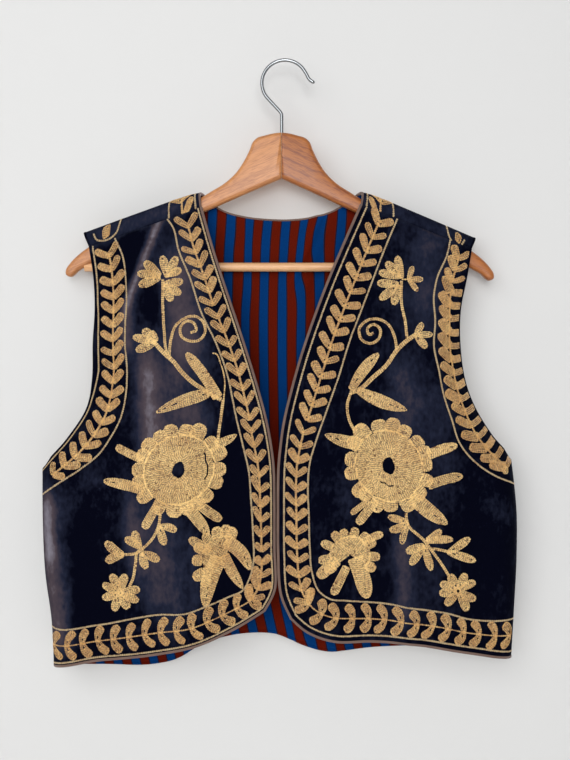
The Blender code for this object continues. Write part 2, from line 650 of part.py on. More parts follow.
def make_hook(stem_foot):
    """The wire hook: a straight stem, a slanting run, a round over the top and a turned-out tail."""
    ring_z = HOOK_WIRE_RADIUS - HOOK_RING_RADIUS
    turn = np.radians(np.linspace(HOOK_ARC_FROM, HOOK_ARC_TO, HOOK_ARC_STEPS))
    arc = np.column_stack([HOOK_RING_RADIUS * np.cos(turn), ring_z + HOOK_RING_RADIUS * np.sin(turn)])
    route = np.vstack([[(HANGER_MID_X, stem_foot), (HANGER_MID_X, HOOK_STEM_TOP)], HOOK_BEND, arc, HOOK_TAIL])
    line = through(route, np.arange(0, len(route) - 0.9, 0.5))
    along = np.gradient(line, axis=0)
    along /= np.linalg.norm(along, axis=1, keepdims=True)
    side = np.column_stack([along[:, 1], -along[:, 0]])
    rings = []
    for angle in np.linspace(0, 2 * math.pi, HOOK_SIDES, endpoint=False):
        offset = side * math.cos(angle) * HOOK_WIRE_RADIUS
        depth = np.full(len(line), math.sin(angle) * HOOK_WIRE_RADIUS)
        rings.append(np.column_stack([line[:, 0] + offset[:, 0], depth, line[:, 1] + offset[:, 1]]))
    tube("hanger_hook", np.stack(rings, axis=1), BRIGHT_STEEL)


def main():
    for obj in list(bpy.data.objects):
        bpy.data.objects.remove(obj)
    make_front("right", RIGHT_SIDE, RIGHT_EDGE, RIGHT_HEM, RIGHT_FRONT_FOLDS)
    make_front("left", LEFT_SIDE, LEFT_EDGE, LEFT_HEM, LEFT_FRONT_FOLDS)
    make_back()
    make_hanger()


main()
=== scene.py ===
"""Dresses a velvet waistcoat on its wooden hanger: cloth, bindings, embroidery, wood and wire.

Millimetres in the tables, metres in the meshes. X runs to the viewer's right, Y away from the
viewer, Z up, and the origin is the inside of the hook's top. "Right" and "left" name the wearer's
sides, so the right front is at -X.

Every panel of cloth is worked out twice over: in space, and laid flat on its pattern. The
embroidery is drawn on the flat pattern and then carried to the cloth, one chain stitch at a time.
"""

import math
from collections import namedtuple

import bpy
import numpy as np
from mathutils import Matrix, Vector
from mathutils.bvhtree import BVHTree


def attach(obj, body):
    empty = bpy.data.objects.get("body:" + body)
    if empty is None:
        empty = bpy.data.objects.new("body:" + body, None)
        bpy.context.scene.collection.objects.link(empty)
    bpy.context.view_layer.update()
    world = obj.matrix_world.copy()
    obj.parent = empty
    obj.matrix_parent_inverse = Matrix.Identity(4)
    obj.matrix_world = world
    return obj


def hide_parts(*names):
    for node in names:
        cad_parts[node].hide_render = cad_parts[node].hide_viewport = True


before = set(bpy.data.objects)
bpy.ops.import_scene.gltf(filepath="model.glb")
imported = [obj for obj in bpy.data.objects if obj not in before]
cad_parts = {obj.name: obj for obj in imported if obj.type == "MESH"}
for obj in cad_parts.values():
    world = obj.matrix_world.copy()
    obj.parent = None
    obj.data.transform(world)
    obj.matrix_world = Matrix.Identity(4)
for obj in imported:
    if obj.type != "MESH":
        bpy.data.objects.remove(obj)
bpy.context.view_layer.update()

bl_info = {
    "name": "Embroidered waistcoat on a hanger",
    "version": (1, 0, 0),
    "blender": (4, 5, 0),
    "location": "View3D > Sidebar > Waistcoat",
    "description": "Makes the cloth, bindings, chain stitch, hanger and stage of a hung waistcoat",
    "category": "Object",
}

MM = 0.001


def linear(hex_colour):
    """An sRGB hex colour as the linear numbers that a shader takes."""
    parts = [int(hex_colour[i : i + 2], 16) / 255 for i in (1, 3, 5)]
    return tuple(p / 12.92 if p <= 0.04045 else ((p + 0.055) / 1.055) ** 2.4 for p in parts)


def listed(kind, *rows):
    """Records of one kind, each from a row of its values."""
    return tuple(kind(*row) for row in rows)


# ---------------- sizes shared with the solids
FRONT_WALL = 2.4
BACK_WALL = 1.5
LINING_WALL = 1.0
SEAM_GAP = 0.3
# How far the edge of a front goes into the back's along the side seam, so that the seam is closed.
SEAM_HOLD = 0.15
BINDING_WIDTH = 2.1

HANGER_MID_X = -3.4
HANGER_THICK = 12.0
HANGER_SWEEP = math.tan(math.radians(3.5))
HANGER_EDGE_ROUND = 4.5
HOOK_WIRE_RADIUS = 1.8
HOOK_RING_RADIUS = 23.8
HOOK_STEM_DEPTH = 24.0
HOOK_STEM_TOP = -75.0
BAR_RADIUS = 4.65
# The bar's middle line runs between these ends, at the depth that the arms' tips reach.
BAR_ENDS, BAR_REACH = (-206.0, 194.0), 206.0
BAR_Z = -210.5
LEFT_ARM_REACH = 0.982
LEFT_ARM_DROOP = 4.0
# The back turns over the arms at this radius. Its straps start this far below that turn, at these X beside
# the neck, and it leans towards the arms over this height.
WRAP_RADIUS, STRAP_DROP, STRAP_FOOT, STRAP_LEAN = 9.6, 16.0, (-76.0, 66.0), 60.0
# A fold keeps its height up to the first share of its length from its middle, and then fades over the second.
FOLD_FLAT, FOLD_FADE = 0.3, 0.35
# The folds fade out over this share of a front, below its shoulder.
FRONT_FADE_SHARE = 0.08
# How far the shoulder seam sinks, and how quickly it rises again down the front.
SEAM_SINK, SEAM_SHARE = 0.9, 110.0
# The back's folds set in below this height, over so many millimetres.
BACK_FADE_FROM, BACK_FADE_OVER = -200.0, 60.0
# The share of a panel's width that turns in at its side.
ROLL_SHARE = 0.12

# x, z: the side or armhole edge; front_y, back_y: its depth on the front and on the back;
# front_roll, back_roll: how far the cloth turns in from the panel's face to reach that edge.
Side = namedtuple("Side", "x z front_y back_y front_roll back_roll")
RIGHT_SIDE = listed(
    Side,
    (-239, -621.5, 3, 3.3, 19, 14),
    (-241.5, -576, 4, 4.3, 22, 16),
    (-248, -527, 4, 4.3, 24, 17),
    (-250.5, -474, 4, 4.3, 24, 17),
    (-251, -421, 4, 4.3, 20, 15),
    (-240, -408.5, -5, 12, 8, 6),
    (-222.5, -388.5, -5, 14, 7, 5),
    (-203, -358, -4.5, 16, 6, 4),
    (-197.3, -326, -2, 17, 5, 3),
    (-196.6, -290, -2, 18.5, 4, 2),
    (-194.6, -256, -1.5, 19.5, 3, 1.5),
    (-196, -222, 0, 20.5, 1.5, 1),
    (-201, -190, 2.4, 21.6, 0, 0),
)
LEFT_SIDE = listed(
    Side,
    (234, -612.5, 3, 3.3, 19, 14),
    (237, -564, 4, 4.3, 22, 16),
    (239.5, -514, 4, 4.3, 24, 17),
    (239.5, -463, 4, 4.3, 24, 17),
    (234.5, -412, 4, 4.3, 20, 15),
    (225, -400.5, -4, 12, 9, 6),
    (211.5, -384, -2, 14, 11, 5),
    (195, -356, 0, 16, 11, 4),
    (184.5, -326, 0, 17, 10, 3),
    (180, -290, 0, 18.5, 9, 2),
    (180.3, -256, 0, 19.5, 6, 1.5),
    (186.5, -222, 0.5, 20.5, 2.5, 1),
    (191.5, -191.5, 2.2, 21.2, 0, 0),
)
# x, z, y: the front edge at the same sections; mid_y: the panel's face half way across.
Edge = namedtuple("Edge", "x z y mid_y")
RIGHT_EDGE = listed(
    Edge,
    (-21.5, -561.6, -19, -22),
    (-10.9, -538, -20, -23),
    (-11.6, -500, -20.5, -24.5),
    (-11.7, -462, -20.5, -25.5),
    (-12.2, -424, -20.5, -25.5),
    (-14.2, -402, -20.2, -25),
    (-18.6, -376, -19.7, -24),
    (-25.6, -348, -18.5, -22.5),
    (-37.2, -309, -16.5, -19.5),
    (-50, -270, -14, -16),
    (-63.2, -231, -11, -11.5),
    (-75.8, -192, -7.5, -6.5),
    (-87.5, -151, -4.4, -1),
)
LEFT_EDGE = listed(
    Edge,
    (6.8, -569.4, -20, -22),
    (-3.6, -543, -21, -23),
    (-6, -503, -21.5, -24.5),
    (-6.2, -464, -21.5, -25.5),
    (-5.9, -424, -21.5, -25.5),
    (-4.2, -401, -21.2, -25),
    (-0.4, -373, -20.6, -24),
    (6, -345, -19.5, -22.5),
    (16.9, -306, -17, -19.5),
    (29.7, -268, -14.5, -16),
    (44.5, -229, -11, -11.5),
    (60.9, -190, -7.5, -6.5),
    (79.5, -148, -4.4, -1),
)
# Depth of the back half way across, at the same sections.
BACK_MID_Y = (21, 23, 24.5, 25, 25, 24.8, 24.6, 24.4, 24, 23.5, 23, 21.5, 18)
# The section at the underarm, where the side seam ends and the armhole starts.
ARMHOLE_START = 4
SECTIONS = len(BACK_MID_Y)

# x, z along the lower edges, and along the back's neck.
RIGHT_HEM = ((-239, -621.5), (-190, -612), (-136, -605.5), (-92, -596.5), (-52, -580), (-21.5, -561.6))
LEFT_HEM = ((234, -612.5), (180, -603.5), (133, -595), (90, -591.5), (52, -592), (24.5, -583.5), (6.8, -569.4))
BACK_HEM = (
    (-239, -621.5), (-195, -624.5), (-155, -626), (-127, -622.5), (-110, -616.5), (-85, -602), (-45, -593.5),
    (-10, -593), (18, -604), (46, -611.5), (90, -608), (135, -605), (180, -607), (234, -612.5),
)
BACK_NECK = ((-62, -153.5), (-46, -157.8), (-28, -160.3), (-5, -161.4), (16, -160.5), (34, -157.6), (50, -152.6))
# x, z of the line where the back turns over an arm, from the neck outwards.
RIGHT_TOP = ((-88, -131.8), (-208, -174))
LEFT_TOP = ((80, -131.2), (197, -179.6))
# How far that line sinks beside the neck, and within what distance of it.
NECK_SINK, SINK_REACH = 2.5, 13.0

# Folds: a soft ridge along a line, out of the cloth's face where height is positive. The first
# rows of each table are the solids' folds, and the narrow ones after them are creases of the cloth.
Fold = namedtuple("Fold", "x0 z0 x1 z1 width height")
RIGHT_FRONT_FOLDS = listed(
    Fold,
    (-132, -172, -160, -250, 12, 5), (-158, -250, -166, -345, 16, 4), (-128, -300, -118, -440, 30, 5),
    (-118, -430, -92, -590, 26, 5), (-62, -390, -52, -560, 22, -5), (-212, -470, -196, -600, 20, -5),
    (-178, -262, -184, -372, 12, -3.5), (-129, -161, -159.5, -254, 5.5, 1.5), (-94, -472, -88, -560, 5, 1.2),
    (-236, -450, -232, -540, 6, -1.4),
)
LEFT_FRONT_FOLDS = listed(
    Fold,
    (146, -190, 158, -290, 12, 3), (120, -440, 124, -585, 13, 5), (148, -330, 152, -470, 26, 4),
    (88, -330, 82, -520, 24, -3.5), (196, -450, 200, -590, 26, -4.5), (40, -420, 48, -560, 22, 2.5),
    (118, -478, 121, -558, 4, 1),
)
BACK_FOLDS = listed(
    Fold,
    (-150, -250, -172, -610, 26, 5), (-96, -330, -104, -622, 22, -4), (-40, -240, -52, -590, 24, 4),
    (22, -300, 16, -600, 20, -4), (84, -250, 92, -606, 26, 4.5), (150, -330, 166, -604, 22, -3.5),
    (30, -172, 12, -262, 7, -2.2), (-44, -176, -38, -250, 6, 1.5), (6, -560, 14, -604, 6, 1.8),
    (40, -566, 52, -612, 6, -1.8), (-70, -552, -84, -600, 6, 1.6),
)
# Creases that fan out below the back's neck, in the velvet and the lining alike.
NECK_CREASES = listed(Fold, (35, -158, 9, -222, 4.5, -3.4), (46, -176, 30, -236, 6, 1.6))
# Where the lining's stripes are pulled aside, and by how many millimetres.
STRIPE_PULLS = listed(
    Fold, (34, -166, 14, -224, 11, 5.5), (-46, -172, -40, -240, 9, -2.2), (10, -564, 18, -604, 9, 3)
)

# ---------------- hanger outline, right arm
HANGER_OUTLINE = (
    (0, -73.5), (7, -74), (17, -76.1), (25.4, -78.6), (30, -83), (32.8, -90), (38.9, -102.1), (47, -114),
    (60.5, -126), (71, -132.2), (79, -137), (86, -141), (110, -151.6), (140, -163.2), (165, -173),
    (185, -181.8), (203, -191), (214, -199.4), (221, -206.6), (225.6, -214.4), (225.2, -218.8), (221.4, -220.6),
    (211, -213.6), (201, -208.2), (141, -180.4), (81.3, -154.8), (35, -135.1), (0, -120.6),
)
# The outline's point at the arm's tip.
HANGER_TIP = 19
HOOK_TAIL = ((22.4, -13.2), (24.6, -17.4), (27.4, -20.0), (30.6, -21.6))
HOOK_BEND = ((HANGER_MID_X, -57.0), (-4.0, -53.2), (-6.4, -50.0), (-12.6, -43.4))
# The round of the hook, in degrees from +X towards +Z, and its points.
HOOK_ARC_FROM, HOOK_ARC_TO, HOOK_ARC_STEPS = 214.0, 28.0, 14

# ---------------- how finely the pieces are made
CURVE_SAMPLES = 40
FRONT_COLUMNS = 68
ROLL_COLUMNS = 10
ROWS_BELOW, ROWS_ABOVE = 46, 62
SHOULDER_COLUMNS = 32
NECK_COLUMNS = 52
STRAP_ROWS = 22
SEAM_ROWS = 6
TAPE_SIDES = 12
BAR_SIDES = 48
HOOK_SIDES = 20

# ---------------- embroidery, laid out on the pattern
# Lines where the borders end on the panel's side, from the side seam by the hem to the shoulder, and
# from the underarm to the shoulder.
RIGHT_EDGE_LINE = (
    (-246, -580.5), (-232.5, -582.5), (-215, -581.5), (-188.5, -577), (-153.5, -569.5), (-127, -565),
    (-100.5, -563.5), (-83.5, -558), (-57.5, -548.5), (-42.5, -541.5), (-37, -532), (-32.5, -516.5),
    (-32.5, -482), (-34.5, -447), (-36.5, -421.5), (-42.5, -395), (-48.5, -370), (-61, -314.5), (-70, -291),
    (-84.5, -261.5), (-97, -224.5), (-109.5, -194), (-115, -172), (-125.5, -157.5),
)
LEFT_EDGE_LINE = (
    (242, -573.5), (231.5, -573.5), (185.5, -571), (166, -565), (141, -560.5), (106, -554.5), (62.5, -551),
    (45.5, -549), (35, -542), (27, -521), (25, -498.5), (24, -464.5), (23, -438), (25, -412), (31, -391),
    (41.5, -361), (53.5, -327.5), (67, -285), (76.5, -260.5), (90, -225.5), (103.5, -191), (117.5, -158.5),
)
RIGHT_ARM_LINE = (
    (-252, -448), (-232.5, -435), (-205.5, -417.5), (-188.5, -403.5), (-176.5, -386.5), (-166, -366),
    (-161, -343.5), (-160, -317.5), (-162.5, -291), (-162.5, -273.5), (-161, -247), (-162.5, -229.5),
    (-168, -198.5), (-176.5, -181),
)
LEFT_ARM_LINE = (
    (240, -437), (234.5, -434.5), (212, -425), (193.5, -412.5), (176, -391), (169, -369), (161, -344.5),
    (156.5, -319.5), (151.5, -294), (153, -268.5), (152, -242.5), (155.5, -225), (167, -199.5), (171.5, -181),
)

# Blade: a leaf or petal from its root to its tip, with its half width and how far it bends sideways.
# root: its width at the root, as a share; widest: how far along it is widest; tip: how it closes, where
# 0.5 is a round end and 1 a pointed one.
Blade = namedtuple("Blade", "x0 z0 x1 z1 half bend root widest tip", defaults=(0, 0.6, 0.62, 0.5))
RIGHT_PETALS = listed(
    Blade,
    (-128, -222, -143.5, -207.5, 5), (-128, -222, -150.5, -220, 4.8), (-128, -223.5, -149, -232.5, 4.8),
    (-120, -223, -126, -201, 4.6), (-119.5, -222, -111, -201.5, 4.6), (-118.5, -221, -106, -215, 4.2),
    (-123.5, -230.5, -104, -227.5, 4.6), (-122.5, -231.5, -106, -241, 4.6), (-123, -231.5, -115.5, -248.5, 4.8),
    (-131.5, -290, -154.5, -284.5, 4.4), (-131.5, -290, -144, -276.5, 5), (-130.5, -289, -137, -279, 4.5),
    (-131.5, -290.5, -151, -299, 4.8), (-125, -475.5, -108.5, -480, 4.2, 2), (-125, -475.5, -120, -494, 4.6, -1),
    (-146, -497, -161.5, -488, 4.6, -1), (-146, -497, -151, -480, 4.8, 1), (-163, -504.5, -181, -491, 5, 1.5),
    (-163, -504.5, -180.5, -512.5, 4.8, -1.5), (-144, -503, -126, -510, 4.8, 1),
    (-144, -503, -139, -518.5, 4.4, -1), (-167, -541, -176, -524.5, 4.8, -1), (-167, -543, -184.5, -534.5, 4.4),
    (-167, -544, -185, -549, 4.4), (-167, -545, -173, -562, 4.8), (-166, -545, -158, -559.5, 5),
    (-165, -544, -147.5, -551.5, 4.4), (-165, -543, -146, -539, 4.8), (-165.5, -541, -160, -524, 4.8, 1),
)
RIGHT_LEAVES = listed(
    Blade,
    (-68, -346, -100, -301, 5.4, -1.5, 1, 0.7), (-78, -342, -130, -361.5, 6.4, -1.5, 0.7, 0.25, 0.6),
    (-70, -394, -48, -383, 4.6, -1, 1, 0.3, 0.8), (-142, -409, -171, -395.5, 4.1, 0.5, 1, 0.84),
    (-142, -438.5, -183, -430, 5.4, -0.5, 1, 0.45, 0.4), (-128, -454, -142, -478, 4.6, 0, 0.9, 0.8),
    (-99, -455, -77, -485, 5.8, 1, 1, 0.5), (-91, -449, -64, -470.5, 5, -1, 0.9, 0.75),
    (-76, -501, -96, -487, 4.8, 0, 1, 0.7), (-67, -508, -80, -557, 8.4, -3, 1, 0.3, 0.5),
    (-62, -506, -42.5, -540, 5.6, -1, 1, 0.4, 0.6), (-60, -492, -35.5, -521, 7, 4.5, 1, 0.4, 0.6),
)
LEFT_PETALS = listed(
    Blade,
    (117.5, -222.5, 103.5, -207.5, 4.8), (117, -223, 96, -218, 4.6), (119, -224, 115, -201, 4.4),
    (115.5, -230.5, 94, -229.5, 4.6), (115.5, -231.5, 96.5, -246.5, 4.6), (116.5, -231.5, 110.5, -252, 4.6),
    (126.5, -225.5, 131, -211.5, 3), (126.5, -225.5, 141.5, -225.5, 3.4), (126.5, -225.5, 136, -238, 2.9),
    (133, -282.5, 140.5, -270, 3.6), (133, -282.5, 150.5, -282, 3.6), (133, -282.5, 144, -296, 4.2),
    (122.5, -470.5, 103.5, -466, 3.8), (122.5, -471, 105, -480, 4.2, 1.5), (123, -472.5, 117, -493.5, 3.6, -1),
    (142.5, -489.5, 157, -479, 4, -1), (142.5, -490.5, 169.5, -489.5, 4.2, 1), (165.5, -502, 187.5, -488.5, 4.6),
    (164.5, -502, 193.5, -512, 4.4), (139.5, -495, 121, -500.5, 4.8), (139.5, -495.5, 125.5, -514, 4.8),
    (140, -495.5, 147.5, -520.5, 4.2), (174, -540, 166, -524.5, 4.8), (173, -541, 156.5, -533, 4.6),
    (173, -543, 155.5, -543.5, 4.6), (174, -544, 162, -556, 4.8), (176, -545, 184.5, -563, 5, 1),
    (177, -543, 194, -551, 4.6, -1), (177, -541, 193.5, -533.5, 4.4, 1), (176, -540, 183, -524, 4.8),
)
LEFT_LEAVES = listed(
    Blade,
    (67, -338, 95, -301.5, 5.8, 2, 0.6, 0.55, 0.5), (74, -339, 123.5, -359, 6.6, -1.5, 0.5, 0.45, 0.7),
    (72, -393, 40, -383, 6.4, 1, 1, 0.2, 0.6), (144, -403.5, 174.5, -394.5, 5.2, 1, 1, 0.5, 0.45),
    (144, -434, 179.5, -425.5, 5, 1.5, 1, 0.7), (128, -446, 163.5, -473.5, 7.6, -1, 1, 0.4, 0.6),
    (84, -450, 66.5, -463.5, 3.2, 0, 0.9, 0.8), (92, -450, 73, -474, 4.8, 0, 0.9, 0.8),
    (79, -493, 99, -483.5, 4, 1, 0.9, 0.75), (52, -510, 33, -527, 6, 0, 1, 0.7),
    (62, -517, 48, -545, 4.8, 0, 0.9, 0.8), (71, -508, 83, -549, 8.2, 1, 1, 0.6, 0.5),
)

# Stem: rows stitched side by side along a curve.
Stem = namedtuple("Stem", "rows points")
RIGHT_STEMS = (
    Stem(2, ((-125, -225.5), (-124.5, -253), (-122.5, -279), (-119.5, -300.5), (-116, -307.5))),
    Stem(2, (
        (-117, -304.5), (-115.5, -287), (-111, -273.5), (-102.5, -266), (-92.5, -263.5), (-83.5, -269), (-81, -278.5),
        (-86, -287.5), (-96.5, -289), (-105, -284), (-106, -274.5), (-99.5, -268.5), (-92, -271.5), (-90.5, -278.5),
        (-96, -280.5),
    )),
    Stem(3, (
        (-132.5, -290.5), (-120.5, -303), (-113, -309.5), (-105, -319.5), (-93, -331), (-80, -339.5), (-64.5, -348.5),
    )),
    Stem(1, ((-73.5, -301.5), (-71, -301.5), (-65, -312.5), (-61, -329), (-62, -348.5))),
    Stem(2, ((-62.5, -348.5), (-65, -368), (-67.5, -386), (-68, -393))),
    Stem(2, (
        (-124.5, -460.5), (-126.5, -474), (-132.5, -487), (-142, -497), (-148.5, -502), (-150.5, -513.5),
        (-153.5, -529.5), (-157, -537),
    )),
    Stem(2, ((-142, -498.5), (-150.5, -503), (-163, -504.5))),
)
LEFT_STEMS = (
    Stem(2, ((119, -227), (119, -251.5), (122.5, -270), (124, -286))),
    Stem(1, ((119.5, -225.5), (126.5, -225.5))),
    Stem(2, (
        (113.5, -298), (111, -283.5), (105, -272), (94.5, -266.5), (83.5, -268), (75.5, -276.5), (77.5, -287),
        (86.5, -291.5), (95.5, -286), (96.5, -276.5), (90, -272), (83.5, -276.5), (86, -282.5), (90, -280.5),
    )),
    Stem(3, ((133.5, -282), (124.5, -288), (113, -299), (102.5, -314), (89, -326), (76, -337.5), (66, -341.5))),
    Stem(2, ((66.5, -341.5), (63, -352.5), (64.5, -367.5), (70.5, -381))),
    Stem(2, ((121, -461.5), (122.5, -472), (139, -489), (149, -502), (157.5, -513.5), (165, -525.5))),
    Stem(2, ((147, -498), (156, -499.5), (166.5, -502))),
)

# Bloom: rings of rows round an open eye, with scallops or petals round them. eye and rim are the
# radii of the rings, and reach that of the petals' tips. start and end are the turn, in degrees from
# +X towards +Z, that a part of a bloom takes up. It is taller than wide by squash, and longer along
# lean. One ring, at gap, is left open round the turn gap_at for gap_span degrees.
Bloom = namedtuple(
    "Bloom", "x z eye rim reach petals petal_half start end squash lean gap gap_at gap_span", defaults=(0, 0, 0)
)
RIGHT_BLOOMS = (
    Bloom(-106.5, -418.5, 6, 35.5, 47.5, 18, 7.2, 0, 360, 1, 40, 28.5, 6, 56),
    Bloom(-61.5, -511.5, 1, 22.5, 31, 8, 5.2, 66, 222, 1.2, 0),
)
LEFT_BLOOMS = (
    Bloom(104.5, -415, 6, 34.5, 46, 17, 7.3, 0, 360, 1.05, -48, 18.5, 262, 46),
    Bloom(65.5, -505, 1, 20, 29.5, 10, 4.8, -28, 214, 1.02, 0),
    Bloom(224.5, -420.5, 0.8, 4, 4, 0, 0, 0, 360, 1, 0),
)

# Vine: pairs of leaves on a stem along a border, from one share of the border's length to another. pitch:
# from pair to pair; middle: how far the stem runs from the rim to the line, as a share; bend: how far the
# leaves curl. A leaf on either side has the angle at which it opens from the stem, its half width, and the
# most that it may be long.
Leaf = namedtuple("Leaf", "angle half length root", defaults=(0.75,))
Vine = namedtuple("Vine", "from_share to_share pitch middle bend inner outer stem", defaults=(2,))
RIGHT_EDGE_VINES = (
    Vine(0.008, 0.338, 16.2, 0.5, 2, Leaf(58, 4.4, 16, 0.6), Leaf(56, 4.4, 16, 0.6), 1),
    Vine(0.36, 0.42, 14.6, 0.53, 0.5, Leaf(43, 3.8, 15), Leaf(50, 3.8, 14.5)),
    Vine(0.44, 0.63, 14.6, 0.55, 0.5, Leaf(29, 3.3, 16.5), Leaf(46, 3.3, 14.5)),
    Vine(0.65, 0.82, 15.4, 0.49, 0.3, Leaf(35, 3.3, 17.5), Leaf(47, 3.4, 15.5)),
    Vine(0.842, 0.975, 15.4, 0.49, 0.3, Leaf(45, 3.6, 16.5), Leaf(42, 3.7, 16.5)),
)
LEFT_EDGE_VINES = (
    Vine(0.012, 0.34, 16.2, 0.5, 2, Leaf(57, 4.5, 15.5, 0.55), Leaf(54, 4.5, 15.5, 0.55), 1),
    Vine(0.362, 0.63, 14.8, 0.5, 0.5, Leaf(54, 3.6, 15), Leaf(42, 3.5, 15.5)),
    Vine(0.652, 0.982, 15.8, 0.53, 0.3, Leaf(61, 3.9, 15.5), Leaf(43, 3.9, 18)),
)
RIGHT_ARM_VINES = (Vine(0.03, 0.95, 14.4, 0.54, 1, Leaf(39, 3.9, 16.5, 0.9), Leaf(60, 3.9, 15.5, 0.9)),)
LEFT_ARM_VINES = (
    Vine(0.01, 0.8, 13.9, 0.42, 0.8, Leaf(37, 4.7, 17.5, 1), Leaf(80, 3.4, 18, 1)),
    Vine(0.845, 0.945, 14, 0.45, 0.8, Leaf(33, 3.8, 16, 0.8), Leaf(52, 3.2, 15, 0.8)),
)
BACK_VINE = Vine(0.02, 0.97, 15.5, 0.5, 0.8, Leaf(46, 3.7, 17), Leaf(46, 3.7, 17))

# The back's armhole borders end on top of the shoulder, and a rounded cap and a bud close them in front.
STRAP_FOLD_ROW = 11
RIGHT_CAP = ((-198.2, -153), (-195, -145), (-188, -139.5), (-180, -137), (-174, -138.5), (-171, -144), (-170, -156))
RIGHT_BUD = Blade(-185, -141, -184.5, -153.5, 4.4, 0, 0.8, 0.6)
LEFT_CAP = ((167.5, -158), (168.5, -149.5), (171.5, -145), (176.5, -144.5), (182, -148), (186, -156))
LEFT_BUD = Blade(178.5, -148.5, 180, -158, 3.4, 0, 0.8, 0.6)

# How far the lines beside the bindings run from the rim: a distance, or distances at shares of its length.
RIGHT_EDGE_INSET, LEFT_EDGE_INSET, LEFT_ARM_INSET = 2.3, 5.2, 0.0
RIGHT_ARM_INSET = ((0, 1.6), (0.36, 1.6), (0.48, 5.4), (0.6, 4.6), (0.76, 1.8), (1, 1.8))

# Streak: a line of painted light on the velvet: painted sheen, paler, or painted shade, darker where strength is
# negative.
Streak = namedtuple("Streak", "x0 z0 x1 z1 width strength")
RIGHT_PAINTED_LIGHT = listed(
    Streak,
    (-129, -161, -160, -249, 4.6, 0.5), (-160, -249, -162, -300, 8, 0.3), (-136, -236, -134, -262, 7, -0.14),
    (-112, -200, -98, -300, 20, 0.34), (-157, -440, -150, -520, 9, 0.22), (-141, -305, -134, -400, 12, 0.42),
    (-114, -300, -106, -400, 24, 0.2), (-96, -355, -84, -378, 16, 0.16), (-130, -470, -118, -560, 24, 0.24),
    (-92, -478, -88, -556, 6, 0.12), (-243, -450, -240, -512, 10, 0.58), (-238, -530, -230, -600, 13, 0.4),
    (-222, -450, -215, -540, 12, 0.08), (-206, -440, -190, -425, 10, 0.1), (-206, -480, -198, -580, 12, -0.2),
    (-158, -182, -172, -240, 9, -0.22), (-60, -420, -52, -530, 16, -0.2), (-200, -189, -90, -151, 3, 0.16),
)
LEFT_PAINTED_LIGHT = listed(
    Streak,
    (150, -176, 142, -270, 22, 0.16), (112, -190, 108, -260, 12, 0.06), (118, -310, 124, -384, 20, 0.2),
    (156, -330, 160, -420, 16, 0.1), (117, -480, 120, -566, 10, 0.26), (70, -400, 60, -470, 14, 0.06),
    (140, -440, 150, -560, 20, 0.08), (196, -440, 200, -560, 26, -0.05), (180, -446, 236, -462, 13, 0.05),
    (188, -190, 84, -149, 3, 0.12),
)
BACK_PAINTED_LIGHT = listed(
    Streak,
    (-197, -153, -94, -116, 12, 0.15), (191, -162, 88, -118, 12, 0.12), (-150, -260, -170, -600, 18, 0.16),
    (-40, -250, -50, -580, 16, 0.12), (-58, -300, -66, -420, 4, 0.2), (84, -260, 92, -600, 18, 0.16),
    (98, -420, 106, -590, 4, 0.22), (150, -340, 166, -600, 16, -0.1), (20, -300, 16, -590, 16, -0.1),
)
# Where the gold thread is painted darker: by the right front's lower bloom this is painted shade, as it lies in a
# fold; the other rows only darken it.
DARKER_THREAD = listed(
    Streak,
    (-60, -498, -66, -535, 26, 0.4), (-140, -598, -236, -612, 20, 0.22), (-19, -450, -18, -560, 14, 0.14),
    (168, -392, 228, -432, 18, 0.1),
)

# Front: the tables of one front. foot: the X of its strap's foot beside the neck; seed: starts its random draws.
Front = namedtuple(
    "Front",
    "side edge hem folds top foot nap edge_line edge_inset edge_vines arm_line arm_inset arm_vines "
    "blooms leaves petals stems seed",
)
FRONTS = {
    "right": Front(
        RIGHT_SIDE, RIGHT_EDGE, RIGHT_HEM, RIGHT_FRONT_FOLDS, RIGHT_TOP, STRAP_FOOT[0], RIGHT_PAINTED_LIGHT,
        RIGHT_EDGE_LINE, RIGHT_EDGE_INSET, RIGHT_EDGE_VINES, RIGHT_ARM_LINE, RIGHT_ARM_INSET, RIGHT_ARM_VINES,
        RIGHT_BLOOMS, RIGHT_LEAVES, RIGHT_PETALS, RIGHT_STEMS, 11,
    ),
    "left": Front(
        LEFT_SIDE, LEFT_EDGE, LEFT_HEM, LEFT_FRONT_FOLDS, LEFT_TOP, STRAP_FOOT[1], LEFT_PAINTED_LIGHT,
        LEFT_EDGE_LINE, LEFT_EDGE_INSET, LEFT_EDGE_VINES, LEFT_ARM_LINE, LEFT_ARM_INSET, LEFT_ARM_VINES,
        LEFT_BLOOMS, LEFT_LEAVES, LEFT_PETALS, LEFT_STEMS, 12,
    ),
}


# ---------------- curves and grids
def through(points, at):
    """Points of a smooth curve through the given ones. at runs from 0 to their number less one."""
    knots = np.asarray(points, float)
    last = len(knots) - 1
    at = np.clip(np.asarray(at, float), 0, last)
    i = np.minimum(at.astype(int), last - 1)
    t = (at - i)[:, None]
    before, after = np.maximum(i - 1, 0), np.minimum(i + 2, last)
    p0, p1, p2, p3 = knots[before], knots[i], knots[i + 1], knots[after]
    return hermite(p1, p2, (p2 - p0) / 2, (p3 - p1) / 2, t)


def hermite(start, end, start_slope, end_slope, t):
    """Points of the cubic with those ends and slopes, where t runs from 0 to 1."""
    return (
        (2 * t**3 - 3 * t**2 + 1) * start
        + (t**3 - 2 * t**2 + t) * start_slope
        + (3 * t**2 - 2 * t**3) * end
        + (t**3 - t**2) * end_slope
    )


def evenly(points, shares):
    """Points of a smooth curve through the given ones, at shares of its length."""
    return spread(through(points, np.linspace(0, len(points) - 1, CURVE_SAMPLES * len(points))), shares)


def lengths_along(line):
    """Distance from a line's start to each of its points."""
    return np.concatenate([[0], np.cumsum(np.linalg.norm(np.diff(line, axis=0), axis=1))])


def read(columns, along, at):
    """Columns of numbers that are known along a line, read at other places along it."""
    return np.column_stack([np.interp(at, along, column) for column in columns.T])


def spread(line, shares):
    """Points of a line at the given shares of its length."""
    along = lengths_along(line)
    return read(line, along / along[-1], shares)


